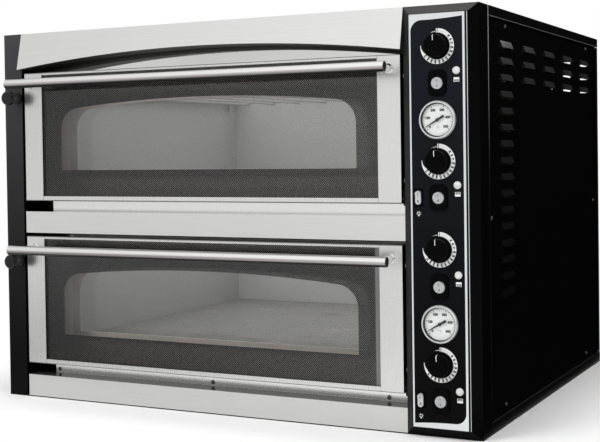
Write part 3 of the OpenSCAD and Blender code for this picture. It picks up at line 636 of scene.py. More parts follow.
def spoke(inner, outer, half, degrees):
    """A narrow bar that points outward at a clock angle."""
    near, far, side = clock(inner, degrees), clock(outer, degrees), clock(half, degrees + 90.0)
    ends = ((near, -1.0), (far, -1.0), (far, 1.0), (near, 1.0))
    return [(end[0] + way * side[0], end[1] + way * side[1]) for end, way in ends]


def linked(name, data):
    """A new object in the scene."""
    obj = bpy.data.objects.new(name, data)
    bpy.context.scene.collection.objects.link(obj)
    return obj


def evaluated_mesh(obj):
    bpy.context.view_layer.update()
    depsgraph = bpy.context.evaluated_depsgraph_get()
    return bpy.data.meshes.new_from_object(obj.evaluated_get(depsgraph))


def mesh_from_curve(curve):
    """The mesh of a curve or a text, with its temporary object taken away again."""
    obj = linked("outline", curve)
    mesh = evaluated_mesh(obj)
    bpy.data.objects.remove(obj)
    bpy.data.curves.remove(curve)
    return mesh


def mesh_from_form(form):
    mesh = bpy.data.meshes.new("form")
    form.to_mesh(mesh)
    form.free()
    return mesh


def printed(outlines, thickness):
    """A thin filled sheet in the plane of x and y; outlines inside another are holes."""
    curve = bpy.data.curves.new("sheet outline", "CURVE")
    curve.dimensions = "2D"
    curve.fill_mode = "BOTH"
    curve.extrude = thickness / 2
    for outline in outlines:
        spline = curve.splines.new("POLY")
        spline.points.add(len(outline) - 1)
        for point, (x, y) in zip(spline.points, outline):
            point.co = (x, y, 0.0, 1.0)
        spline.use_cyclic_u = True
    return mesh_from_curve(curve)


def lettering(words, size, thickness, bold=0.0):
    """Plain figures in the plane of x and y, centred on the origin."""
    text = bpy.data.curves.new("figures", "FONT")
    text.body = words
    text.size = size
    text.offset = bold
    text.align_x = "CENTER"
    text.align_y = "CENTER"
    text.extrude = thickness / 2
    text.resolution_u = 3
    return mesh_from_curve(text)


def skinned(form, rows, steps):
    """The mesh of a form with faces between neighbouring rows of points, where a row may be one point."""
    for lower, upper in zip(rows, rows[1:]):
        for i in range(steps):
            j = (i + 1) % steps
            corners = [row[k % len(row)] for row, k in ((lower, i), (lower, j), (upper, j), (upper, i))]
            form.faces.new(list(dict.fromkeys(corners)))
    bmesh.ops.recalc_face_normals(form, faces=form.faces)
    return mesh_from_form(form)


def lathe(profile, steps=32):
    """A turned form round z from (radius, height) points."""
    form = bmesh.new()
    rings = []
    for radius, height in profile:
        if radius < 1e-7:
            rings.append([form.verts.new((0.0, 0.0, height))])
        else:
            rings.append([form.verts.new((x, y, height)) for x, y in circle(radius, steps=steps)])
    return skinned(form, rings, steps)


def ribbon(path, width, thickness):
    """A strip along (y, z) points, thickened to one side and centred on x."""
    form = bmesh.new()
    rows = []
    for i, point in enumerate(path):
        before = Vector(path[max(i - 1, 0)])
        after = Vector(path[min(i + 1, len(path) - 1)])
        run = (after - before).normalized()
        out = Vector(point) + Vector((-run.y, run.x)) * thickness
        corners = [(-width / 2, *point), (width / 2, *point), (width / 2, *out), (-width / 2, *out)]
        rows.append([form.verts.new(corner) for corner in corners])
    form.faces.new(rows[0])
    form.faces.new(rows[-1])
    return skinned(form, rows, 4)


def screw_head(radius, height):
    """A pan head standing on z = 0 with a cross recess."""
    shape = ((0.0, 0.0), (1.0, 0.0), (1.0, 0.35), (0.93, 0.66), (0.74, 0.9), (0.4, 1.0), (0.0, 1.0))
    head = linked("screw head", lathe([(radius * out, height * up) for out, up in shape], 28))
    arm, width, floor = radius * 0.58, radius * 0.15, height * 0.3
    cross = bmesh.new()
    for along, across in ((arm, width), (width * 1.001, arm * 1.001)):
        corners = [
            cross.verts.new((x * flare, y * flare, z))
            for z, flare in ((floor, 0.55), (height * 1.5, 1.15))
            for x, y in ((-along, -across), (along, -across), (along, across), (-along, across))
        ]
        for loop in ((3, 2, 1, 0), (4, 5, 6, 7), (0, 1, 5, 4), (1, 2, 6, 5), (2, 3, 7, 6), (3, 0, 4, 7)):
            cross.faces.new([corners[i] for i in loop])
    cutter = linked("cross recess", mesh_from_form(cross))
    cut = head.modifiers.new("recess", "BOOLEAN")
    cut.operation = "DIFFERENCE"
    cut.solver = "EXACT"
    cut.use_self = True
    cut.object = cutter
    mesh = evaluated_mesh(head)
    for obj in (head, cutter):
        spent = obj.data
        bpy.data.objects.remove(obj)
        bpy.data.meshes.remove(spent)
    return mesh


def joined(parts):
    """One mesh from (mesh, matrix) pairs; the pairs' meshes are used up."""
    form = bmesh.new()
    for mesh, matrix in parts:
        mesh.transform(matrix)
        form.from_mesh(mesh)
    for mesh in {mesh.name: mesh for mesh, _ in parts}.values():
        bpy.data.meshes.remove(mesh)
    return mesh_from_form(form)


def piece(name, mesh, material, body, at=Matrix.Identity(4), smooth=None):
    """Adds a finished piece that moves with a body; smooth is the sharpest angle shaded round."""
    mesh.name = name
    coat(mesh, material)
    mesh.transform(at)
    if smooth:
        mesh.shade_smooth()
        mesh.set_sharp_from_angle(angle=math.radians(smooth))
    obj = linked(name, mesh)
    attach(obj, body)
    return obj


def on_front(x, y, z):
    """Stands a sheet drawn in x and y upright, facing the front."""
    return Matrix.Translation((x, y, z)) @ TO_FRONT


def outward_ends(node):
    """The two ends of a node along x, each with a turn that points z out of it."""
    low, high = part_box(node)
    ends = ((-1.0, low.x), (1.0, high.x))
    return [(end, Matrix.Rotation(math.radians(90.0 * side), 4, "Y")) for side, end in ends]


def clusters(node, reach):
    """Centre and extents of each separate lump of a CAD node; lumps are smaller than reach and further apart."""
    groups = []
    for vertex in frame["nodes"][node].data.vertices:
        for group in groups:
            if (group[0] - vertex.co).length < reach:
                group.append(vertex.co.copy())
                break
        else:
            groups.append([vertex.co.copy()])
    found = []
    for group in groups:
        low, high = [Vector([pick(axis) for axis in zip(*group)]) for pick in (min, max)]
        found.append(((low + high) / 2, high - low))
    return found


# Settings


def number(name, description, default, **kind):
    return FloatProperty(name=name, description=description, default=default, **kind)


def length(name, description, millimetres, **kind):
    return number(name, description, millimetres * MM, unit="LENGTH", **kind)


def share(name, description, default):
    return number(name, description, default, subtype="FACTOR", min=0, max=1)


def angle(name, description, default):
    return number(name, description, default, subtype="ANGLE")


def pixels(name, description, default):
    return number(name, description, default, subtype="PIXEL")


def power(name, description, default):
    return number(name, description, default, unit="POWER")


def hue(name, description, default):
    kind = {"subtype": "COLOR", "min": 0, "max": 1}
    return FloatVectorProperty(name=name, description=description, default=default, **kind)


class OvenFinishSettings(PropertyGroup):
    """Colours and sheens of the oven's surfaces."""

    steel_tone: hue("Steel", "Colour of the brushed stainless sheet", (0.72, 0.72, 0.71))
    steel_roughness: share("Steel roughness", "Roughness of the brushed sheet", 0.33)
    handle_roughness: share("Handle roughness", "Roughness of the handle bars", 0.30)
    paint_tone: hue("Casing paint", "Colour of the powder coat", (0.002, 0.002, 0.0021))
    paint_roughness: share("Casing roughness", "Roughness of the powder coat", 0.36)
    chamber_tone: hue("Chamber sheet", "Colour of the chamber's sheet", (0.51, 0.51, 0.507))
    stone_tone: hue("Baking stone", "Colour of the stones", (0.155, 0.150, 0.142))
    glass_tone: hue("Door glass", "Tint of the door's panes", (0.945, 0.95, 0.945))
    print_tone: hue("Glass print", "Colour of the dark print on the door glass", (0.005, 0.005, 0.0051))
    dot_pitch: length("Dot pitch", "Distance between neighbouring clear dots", 2.9, min=1.0 * MM)
    dot_clear: number("Dot threshold", "Higher makes the clear dots smaller", 1.25, min=-2, max=2)


class OvenPrintSettings(PropertyGroup):
    """Sizes of the printed control panel and the door-glass print."""

    label_thickness: length("Film thickness", "Thickness of the control panel's film", 0.25)
    ink_thickness: length("Ink thickness", "Thickness of the printed ink", 0.06)
    border_left: length("Border on the left", "Width of the silver border left of the film", 2.9)
    border_right: length("Border on the right", "Width of the silver border right of the film", 4.0)
    strip_height: length("Solid strip", "Height of the solid print under the door's window", 15.0)
    border_end: length("Border at the ends", "Height of the silver border above the film", 10.3)
    border_tip: length("Border at the tip", "Height of the border where the film's end sweeps out", 6.5)
    border_gap: length("Gap beside the border", "Dark gap between the border and the right edge", 5.8)
    corner_radius: length("Film corner", "Radius of the film's round corners", 19.0)
    scale_radius: length("Scale radius", "Outer radius of the thermostat scales", 30.0)
    scale_inner: length("Scale inner radius", "Inner radius of the broad part of the scales", 22.6)
    scale_figure: length("Scale figures", "Height of the figures on the scales", 4.0)
    icon_width: length("Sign width", "Width of the heat signs", 9.8)
    icon_height: length("Sign height", "Height of the heat signs", 7.4)
    icon_drop: length("Sign drop", "Distance from a pilot lamp down to its heat sign", 15.3)
    bulb_drop: length("Lamp sign drop", "Distance from a light switch down to its sign", 27.6)
    window_width: length("Window width", "Width of the clear window in the glass print", 644.0)
    window_height: length("Window height", "Height of the clear window at its middle", 137.0)
    window_rise: length("Window height above the door's foot", "Where the clear window starts", 61.0)
    window_arch: length("Window arch", "Radius of the window's arched top", 2900.0)
    window_corner: length("Window corner", "Radius of the window's upper corners", 42.0)
    gauge_radius: length("Thermometer face", "Radius of the thermometer faces", 28.0)
    pointer_rest: angle("Pointer at rest", "Turn of the thermometer hands at rest", math.radians(120.0))
    knob_rest: angle("Knob rest turn", "How far the knob marks stand left of the top", math.radians(4.0))
    rocker_rest: angle("Rocker rest tilt", "How far the rockers are tipped at rest", math.radians(7.0))


class OvenStageSettings(PropertyGroup):
    """Camera and lights of the studio."""

    camera_at: FloatVectorProperty(
        name="Camera", description="Place of the camera", subtype="XYZ", unit="LENGTH",
        default=(1.1502, -2.3479, 0.4923),
    )
    yaw: angle("Camera yaw", "Turn of the camera to the left of straight on", 0.475883)
    pitch: angle("Camera pitch", "Downward tilt of the camera", 0.020125)
    roll: angle("Camera roll", "Roll of the camera", -0.014167)
    focal_px: pixels("Focal length", "Focal length in image pixels", 1216.87)
    centre_x: pixels("Optical centre across", "Image column on the optical axis", 288.99)
    centre_y: pixels("Optical centre down", "Image row on the optical axis", 174.83)
    key_power: power("Key light", "Power of the large light at the front left", 130.0)
    top_power: power("Top light", "Power of the large light overhead", 70.0)
    fill_power: power("Fill light", "Power of the small light at the right", 25.0)
    chamber_power: power("Chamber light", "Power of the light inside each chamber", 3.1)
    ambient: share("Ambient", "Level of the even light from all round", 0.50)
    floor_tone: hue("Floor", "Colour of the floor", (0.90, 0.90, 0.90))


# Operators


class OVEN_OT_casing(Operator):
    """Finishes the black casing, its cover sheets and the hinge brackets"""

    bl_idname = "oven.casing"
    bl_label = "Casing"

    def execute(self, context):
        settings = context.scene.oven_finish
        casing = powder_coat(settings, "black casing coat")
        dress(casing, "base_pan", "top_cover", "back_panel", "hinge_brackets")
        dress(powder_coat(settings, "black bezel coat", shine=0.03), "control_bezel")
        # The post's coat gets a painted sheen that is lighter toward the top.
        dress(powder_coat(settings, "black post coat", shine=0.06, painted_light_lift=24.0), "left_post")
        dress(side_coat(settings), "left_side_panel", "right_side_panel")
        dress(moulded("black gland nylon", (0.016, 0.016, 0.017), 0.46), "cable_gland")
        return {"FINISHED"}


class OVEN_OT_steelwork(Operator):
    """Finishes the stainless hood, chamber front, middle band and base fascia"""

    bl_idname = "oven.steelwork"
    bl_label = "Stainless front"

    def execute(self, context):
        settings = context.scene.oven_finish
        rows = {
            # Painted light: the hood is a lighter copy of the steel; its underside is darkened and graded
            # lighter toward the back as painted shade.
            "hood": ("brushed hood steel", {"shade": 1.22, "dark": soffit, "dark_tones": (0.03, 0.15)}),
            # Painted light and shade: the band is a lighter copy of the steel, with a darker ledge and a
            # slightly darker, polished sill.
            "middle_band": ("brushed band steel", {
                "shade": 1.08, "zones": ((ledge, 0.65, 0.12, 1.0), (sill, 0.94, 0.14, 1.0)),
            }),
            # Painted light and shade: the fascia is a darker copy of the steel, its ledge a dark non-metal
            # standing in for a dark reflection, and its sill lightened where it lies in shade under the door.
            "base_fascia": ("brushed fascia steel", {
                "shade": 0.95, "zones": ((ledge, 0.07, 0.10, 0.0), (sill, 1.35, 0.22, 1.0)),
            }),
            # Painted light and shade: the chamber front is a darker copy of the steel, and its left end is
            # lightened and polished where it lies in the hood's shade.
            "chamber_front": ("bright chamber front steel", {
                "shade": 0.90, "rough": -0.27, "bump": 0.004, "zones": ((left_end, 1.12, 0.02, 1.0),),
            }),
        }
        for node, (name, looks) in rows.items():
            dress(sheet_steel(settings, name, **looks), node)
        return {"FINISHED"}


class OVEN_OT_chambers(Operator):
    """Finishes the chambers with their stones, elements, lamps, seals, insulation and flues"""

    bl_idname = "oven.chambers"
    bl_label = "Chambers"

    def execute(self, context):
        settings = context.scene.oven_finish
        sheet = chamber_steel(settings, "heat dulled chamber sheet")
        dress(sheet, "upper_chamber", "lower_chamber", "flue_ducts")
        dress(baking_stone(settings), "upper_stone", "lower_stone")
        dress(heater_sheath(), "heaters")
        dress(mineral_wool(), "insulation")
        dress(rope_seal(), "door_seals")
        dress(lens("chamber lamp glass", (0.80, 0.78, 0.70), 0.1), "chamber_lamps")
        return {"FINISHED"}


class OVEN_OT_doors(Operator):
    """Finishes both doors and adds their glass print, end screws and handle plugs"""

    bl_idname = "oven.doors"
    bl_label = "Doors"

    def execute(self, context):
        finish = context.scene.oven_finish
        sizes = context.scene.oven_print
        # The rim zone is a painted shade line along the door frames' top and bottom edges.
        frame_looks = {"rough": -0.05, "shade": 1.04, "zones": ((rim, 0.35, 0.30, 1.0),), "dark": end_on}
        finishes = {
            "door_frame": sheet_steel(finish, "brushed door steel", "Z", **frame_looks),
            # The door lining is a much lighter copy of the chamber sheet, painted light where it lies in shade
            # between the panes.
            "inner_panel": chamber_steel(finish, "door lining sheet", 1.75, (0.79, 0.68, 0.64)),
            "outer_glass": pane("door outer glass", finish.glass_tone, 6.0),
            "inner_glass": pane("door inner glass", finish.glass_tone, 9.0, (0.80, 0.65, 0.60)),
            "handle_bar": turned_steel(finish),
            "handle_posts": plain_steel("bright post steel", (0.80, 0.80, 0.79), 0.14),
            "hinge_pins": plain_steel("plated pin steel"),
        }
        dots = dot_print(finish, sizes)
        plug = moulded("black handle plug", (0.014, 0.014, 0.015))
        # The door's end screws are pale and barely metallic, a painted highlight so that they show as bright
        # glints in the dark gap beside the door.
        head = plain_steel("door screw steel", (0.85, 0.85, 0.84), 0.40, 0.2)
        for deck in DECKS:
            for node, material in finishes.items():
                dress(material, f"{deck}_{node}")
            self.glass_print(deck, sizes, dots)
            self.handle_plugs(deck, plug)
            self.end_screws(deck, head)
        return {"FINISHED"}

    def glass_print(self, deck, sizes, material):
        low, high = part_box(f"{deck}_outer_glass")
        door_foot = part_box(f"{deck}_door_frame")[0].z
        middle = (low + high) / 2
        margin = 2 * MM
        sheet = rectangle(high.x - low.x - margin, high.z - low.z - margin, (0.0, middle.z))
        window = shifted(self.window_outline(sizes), door_foot + sizes.window_rise)
        place = on_front(middle.x, high.y + SHEET_THICKNESS, 0.0)
        mesh = printed([sheet, window], SHEET_THICKNESS)
        piece(f"{deck}_glass_print", mesh, material, f"{deck}_door", place)

    @staticmethod
    def window_outline(sizes):
        """An upright window with round upper corners under an arched top, standing on z = 0."""
        half = sizes.window_width / 2
        corner = sizes.window_corner
        arch = sizes.window_arch
        reach = half - corner
        sweep = math.degrees(math.asin(reach / (arch - corner)))
        crown = sizes.window_height - arch
        corner_z = crown + math.sqrt((arch - corner) ** 2 - reach ** 2)
        outline = [(-half, 0.0), (half, 0.0)]
        outline += arc((reach, corner_z), corner, 0.0, 90.0 - sweep, 10)
        outline += arc((0.0, crown), arch, 90.0 - sweep, 90.0 + sweep, 48)[1:-1]
        outline += arc((-reach, corner_z), corner, 90.0 + sweep, 180.0, 10)
        return outline

    @staticmethod
    def handle_plugs(deck, material):
        low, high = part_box(f"{deck}_handle_bar")
        middle = (low + high) / 2
        bore, depth = 7.4 * MM, 6.0 * MM
        profile = [(0.0, -depth), (bore, -depth), (bore, -0.9 * MM), (bore - 0.7 * MM, -0.3 * MM), (0.0, 0.0)]
        parts = [
            (lathe(profile), Matrix.Translation((end, middle.y, middle.z)) @ turn)
            for end, turn in outward_ends(f"{deck}_handle_bar")
        ]
        piece(f"{deck}_handle_plugs", joined(parts), material, f"{deck}_door", smooth=35)

    @staticmethod
    def end_screws(deck, material):
        low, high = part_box(f"{deck}_door_frame")
        radius, height, depth = 3.8 * MM, 2.0 * MM, 17.0 * MM
        parts = []
        for end, turn in outward_ends(f"{deck}_door_frame"):
            for rise in (0.152, 0.858):
                place = Matrix.Translation((end, low.y + depth, low.z + rise * (high.z - low.z)))
                parts.append((screw_head(radius, height), place @ turn))
        piece(f"{deck}_door_end_screws", joined(parts), material, f"{deck}_door", smooth=30)


class OVEN_OT_dampers(Operator):
    """Finishes the damper rods, their pull knobs and bushes"""

    bl_idname = "oven.dampers"
    bl_label = "Dampers"

    def execute(self, context):
        rod = plain_steel("drawn rod steel", (0.60, 0.60, 0.59), 0.22)
        knob = moulded("black knob plastic", (0.005, 0.005, 0.0052), 0.30, shine=0.3)
        dress(rod, "upper_damper_rod", "lower_damper_rod")
        dress(knob, "upper_damper_knob", "lower_damper_knob", "damper_bushes")
        return {"FINISHED"}


class OVEN_OT_control_panel(Operator):
    """Finishes the control plate and adds its silver border, black film and signs"""

    bl_idname = "oven.control_panel"
    bl_label = "Control panel"

    def execute(self, context):
        sizes = context.scene.oven_print
        film = self.film_finish()
        dress(film, "control_plate")
        dress(plain_steel("thermostat case steel"), "thermostats")
        low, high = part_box("control_plate")
        side_gap, end_gap, line_width, line_inset = 0.5 * MM, 0.2 * MM, 0.9 * MM, 1.7 * MM
        left, right = low.x + side_gap, high.x - sizes.border_gap
        bottom, top = low.z + end_gap, high.z - end_gap
        outer_edge = [(left, bottom), (right, bottom), (right, top), (left, top)]
        film_edge = self.film_outline(sizes, left, right, bottom, top)
        edge_line = rectangle(line_width, top - bottom, (high.x - line_inset, (top + bottom) / 2))
        place = on_front(0.0, low.y - sizes.label_thickness / 2, 0.0)
        border = printed([outer_edge, film_edge, edge_line], sizes.label_thickness)
        piece("control_border", border, self.border_metal(), "casing", place)
        label = printed([film_edge] + self.cutouts(), sizes.label_thickness)
        piece("control_label", label, film, "casing", place)
        white = ink("white panel ink", WHITE_INK)
        face = low.y - sizes.label_thickness - sizes.ink_thickness / 2
        self.heat_signs(sizes, white, face)
        self.light_signs(sizes, white, face)
        return {"FINISHED"}

    @staticmethod
    def film_finish():
        """Satin black film, faintly blue, made lighter toward the top and blacker toward the foot by painted
        light.
        """
        paint = paint_for("black control film")
        low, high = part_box("control_plate")
        spark = paint.noise(1600.0, 2.0)
        wear = paint.noise(45.0, 4.0)
        # Painted light: the film darkens from its top to its foot.
        rise = paint.spread(paint.xyz()[2], low.z, high.z) * (0.9 + 0.2 * wear)
        colour = paint.blend(rise.clamped(), (0.0008, 0.0008, 0.0009), (0.0085, 0.0092, 0.013))
        normal = paint.relief(spark, 0.14, 0.00006, 0.0003)
        return paint.surface(colour, 0.42 + 0.1 * (wear - 0.5), normal, {"Specular IOR Level": 0.06})

    @staticmethod
    def border_metal():
        paint = paint_for("brushed border metal")
        grain = brushed(paint, "Z", 2200.0, 12.0)
        cloud = paint.noise(10.0, 3.0)
        colour = paint.blend(grain, (0.72, 0.73, 0.74), (0.86, 0.87, 0.88))
        normal = paint.relief(grain, 0.05, 0.0001)
        return paint.surface(colour, 0.34 + 0.1 * cloud, normal, {"Metallic": 0.9})

    @staticmethod
    def film_outline(sizes, left, right, bottom, top):
        """Upright film with two round corners and two ends that sweep out to a tip."""
        x0, x1 = left + sizes.border_left, right - sizes.border_right
        z0, z1 = bottom + sizes.border_end, top - sizes.border_end
        r = sizes.corner_radius
        sweep = sizes.border_end - sizes.border_tip
        steps = 12
        run = [(i / steps * (x1 - x0 - r), (1 - i / steps) ** 2 * sweep) for i in range(steps)]
        outline = [(x0 + along, z0 - out) for along, out in run]
        outline += arc((x1 - r, z0 + r), r, 270.0, 360.0, 16)
        outline += [(x1 - along, z1 + out) for along, out in run]
        outline += arc((x0 + r, z1 - r), r, 90.0, 180.0, 16)
        return outline

    @staticmethod
    def cutouts():
        """Openings round every control that stands on the plate."""
        gap = 0.15 * MM
        spindle, gauge, lamp = 5.2 * MM, 32.5 * MM + gap, 6.5 * MM + gap
        switch = (32.0 * MM + 2 * gap, 44.0 * MM + 2 * gap, 10.0 * MM)
        light = (16.0 * MM + 2 * gap, 30.0 * MM + 2 * gap)
        spots = {name: (at.x, at.z) for name, at in JOINT_AT.items()}
        holes = []
        for zone in ZONES:
            holes.append(circle(spindle, spots[f"{zone}_knob_turn"]))
            holes.append(rounded_outline(*switch, spots[f"{zone}_rocker_tip"]))
        for deck in DECKS:
            holes.append(rectangle(*light, spots[f"{deck}_light_rocker_tip"]))
            holes.append(circle(gauge, spots[f"{deck}_gauge_pointer_turn"], 64))
        return holes + [circle(lamp, (at.x, at.z)) for at, _ in clusters("pilot_lamps", PILOT_REACH)]

    @staticmethod
    def heat_signs(sizes, material, face):
        """A small oven with its upper or its lower half filled, below each pilot lamp."""
        width, height, line = sizes.icon_width, sizes.icon_height, 0.9 * MM
        lamps = sorted((lamp for lamp, _ in clusters("pilot_lamps", PILOT_REACH)), key=lambda lamp: -lamp.z)
        for zone, lamp in zip(ZONES, lamps):
            way = -1.0 if zone.endswith("top") else 1.0
            window = rectangle(width - 2 * line, height * 0.44, (0.0, way * height * 0.20))
            bar = rectangle(width * 0.5, line, (0.0, way * height * 0.18))
            mesh = printed([rectangle(width, height), window, bar], sizes.ink_thickness)
            place = on_front(lamp.x, face, lamp.z - sizes.icon_drop)
            piece(f"{zone}_heat_sign", mesh, material, "casing", place)

    @staticmethod
    def light_signs(sizes, material, face):
        """A lamp with rays below each light switch."""
        rise, bulb, hollow = 0.6 * MM, 2.7 * MM, 1.9 * MM
        ray = (3.3 * MM, 4.3 * MM, 0.25 * MM)
        outlines = [circle(radius, (0.0, rise)) for radius in (bulb, hollow)]
        outlines.append(rectangle(2.4 * MM, 1.7 * MM, (0.0, -3.2 * MM)))
        for degrees in (-120.0, -75.0, -30.0, 30.0, 75.0, 120.0):
            outlines.append(shifted(spoke(*ray, degrees), rise))
        for deck in DECKS:
            light = JOINT_AT[f"{deck}_light_rocker_tip"]
            mesh = printed(outlines, sizes.ink_thickness)
            place = on_front(light.x, face, light.z - sizes.bulb_drop)
            piece(f"{deck}_light_sign", mesh, material, "casing", place)


class OVEN_OT_dials(Operator):
    """Finishes the thermostat knobs and adds their marks and printed scales"""

    bl_idname = "oven.dials"
    bl_label = "Thermostat dials"

    def execute(self, context):
        sizes = context.scene.oven_print
        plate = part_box("control_plate")[0].y
        face = plate - sizes.label_thickness - sizes.ink_thickness / 2
        white = ink("white scale ink", WHITE_INK)
        dark = ink("black figure ink", BLACK_INK)
        black = moulded("thermostat knob plastic", (0.002, 0.002, 0.0021), 0.42, shine=0.02)
        turned = Matrix.Rotation(sizes.knob_rest, 4, "Z")
        mark_width, mark_thickness = 1.1 * MM, 0.12 * MM
        for zone in ZONES:
            dress(black, f"{zone}_knob")
            at = JOINT_AT[f"{zone}_knob_turn"]
            band = printed(self.scale_outlines(sizes), sizes.ink_thickness)
            piece(f"{zone}_scale", band, white, "casing", on_front(at.x, face, at.z))
            above = on_front(at.x, face - sizes.ink_thickness, at.z)
            piece(f"{zone}_scale_figures", self.figures(sizes), dark, "casing", above)
            mark = ribbon(self.mark_path(), mark_width, mark_thickness)
            place = on_front(at.x, plate, at.z) @ turned
            piece(f"{zone}_knob_mark", mark, white, f"{zone}_knob", place)
        return {"FINISHED"}

    @staticmethod
    def scale_outlines(sizes):
        """A band that tapers off at its clockwise end, its starting bar and a thin tail on the other side."""
        outer, inner = sizes.scale_radius, sizes.scale_inner
        start, taper, end, thin, steps = 2.5, 222.0, 274.0, 1.0 * MM, 72
        turns = [start + (end - start) * i / steps for i in range(steps + 1)]
        hub = []
        for turn in reversed(turns):
            along = min(max((turn - taper) / (end - taper), 0.0), 1.0)
            hub.append(clock(inner + (outer - thin - inner) * along * along * (3 - 2 * along), turn))
        band = [clock(outer, turn) for turn in turns] + hub
        bar = [clock(inner, -4.2), clock(outer, -3.2), clock(outer, 0.2), clock(inner, 0.2)]
        tail_start, tail_sweep, tail_radius, tail_width, tail_steps = -7.0, -20.0, 25.5 * MM, 1.1 * MM, 16
        shares = [i / tail_steps for i in range(tail_steps + 1)]
        tail = [clock(tail_radius + 0.1 * MM, tail_start + tail_sweep * along) for along in shares]
        for along in reversed(shares):
            tail.append(clock(tail_radius - tail_width * (1 - along), tail_start + tail_sweep * along))
        return [band, bar, tail]

    @staticmethod
    def figures(sizes):
        """Round figures along the band, each lying along its radius."""
        middle = (sizes.scale_radius + sizes.scale_inner) / 2
        first_turn, turn_step, bold = 52.0, 15.0, 0.30 * MM
        parts = []
        for i, figure in enumerate(range(30, 391, 30)):
            turn = first_turn + turn_step * i
            lean = math.radians((90.0 if turn < 180.0 else 270.0) - turn)
            place = Matrix.Translation((*clock(middle, turn), 0.0)) @ Matrix.Rotation(lean, 4, "Z")
            parts.append((lettering(str(figure), sizes.scale_figure, sizes.ink_thickness, bold), place))
        return joined(parts)

    @staticmethod
    def mark_path():
        """Radius and height along the knob's cap, rounded edge and flank."""
        points = [(8.6, 20.02), (15.25, 20.02), (17.5, 19.22), (18.3, 17.6), (18.75, 13.5)]
        return [(radius * MM, height * MM) for radius, height in points]


class OVEN_OT_switches(Operator):
    """Finishes the switches and adds the on and off marks of their rockers"""

    bl_idname = "oven.switches"
    bl_label = "Switches"

    def execute(self, context):
        sizes = context.scene.oven_print
        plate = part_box("control_plate")[0].y
        dress(moulded("black switch plastic", (0.0018, 0.0018, 0.002), 0.34, shine=0.03), "switch_housings")
        key = moulded("grey rocker plastic", (0.42, 0.425, 0.43), 0.38)
        slim = moulded("pale light key plastic", (0.52, 0.52, 0.51), 0.40)
        dark = ink("dark key mark", (0.05, 0.05, 0.055))
        tip = Matrix.Rotation(sizes.rocker_rest, 4, "X")
        key_marks = {"up": 4.6 * MM, "out": 4.72 * MM, "size": 5.0 * MM, "slope": 7.0}
        slim_marks = {"up": 6.0 * MM, "out": 4.0 * MM, "size": 6.6 * MM, "slope": 6.9}
        rows = [(f"{zone}_rocker", key, key_marks) for zone in ZONES]
        rows += [(f"{deck}_light_rocker", slim, slim_marks) for deck in DECKS]
        for rocker, plastic, layout in rows:
            dress(plastic, rocker)
            at = JOINT_AT[f"{rocker}_tip"]
            place = on_front(at.x, plate, at.z) @ tip
            piece(f"{rocker}_marks", self.marks(sizes, **layout), dark, rocker, place)
        return {"FINISHED"}

    @staticmethod
    def marks(sizes, up, out, size, slope):
        """A one on the upper half and a nought on the lower half, each lying on its slope."""
        parts = []
        for way, figure in ((1.0, "I"), (-1.0, "0")):
            lean = Matrix.Rotation(math.radians(way * slope), 4, "X")
            flat = lettering(figure, size, sizes.ink_thickness, bold=0.2 * MM)
            parts.append((flat, Matrix.Translation((0.0, way * up, out)) @ lean))
        return joined(parts)


class OVEN_OT_pilot_lamps(Operator):
    """Finishes the pilot lamps"""

    bl_idname = "oven.pilot_lamps"
    bl_label = "Pilot lamps"

    def execute(self, context):
        dress(lens("pale pilot lens", (0.93, 0.92, 0.90), 0.0), "pilot_lamps")
        return {"FINISHED"}


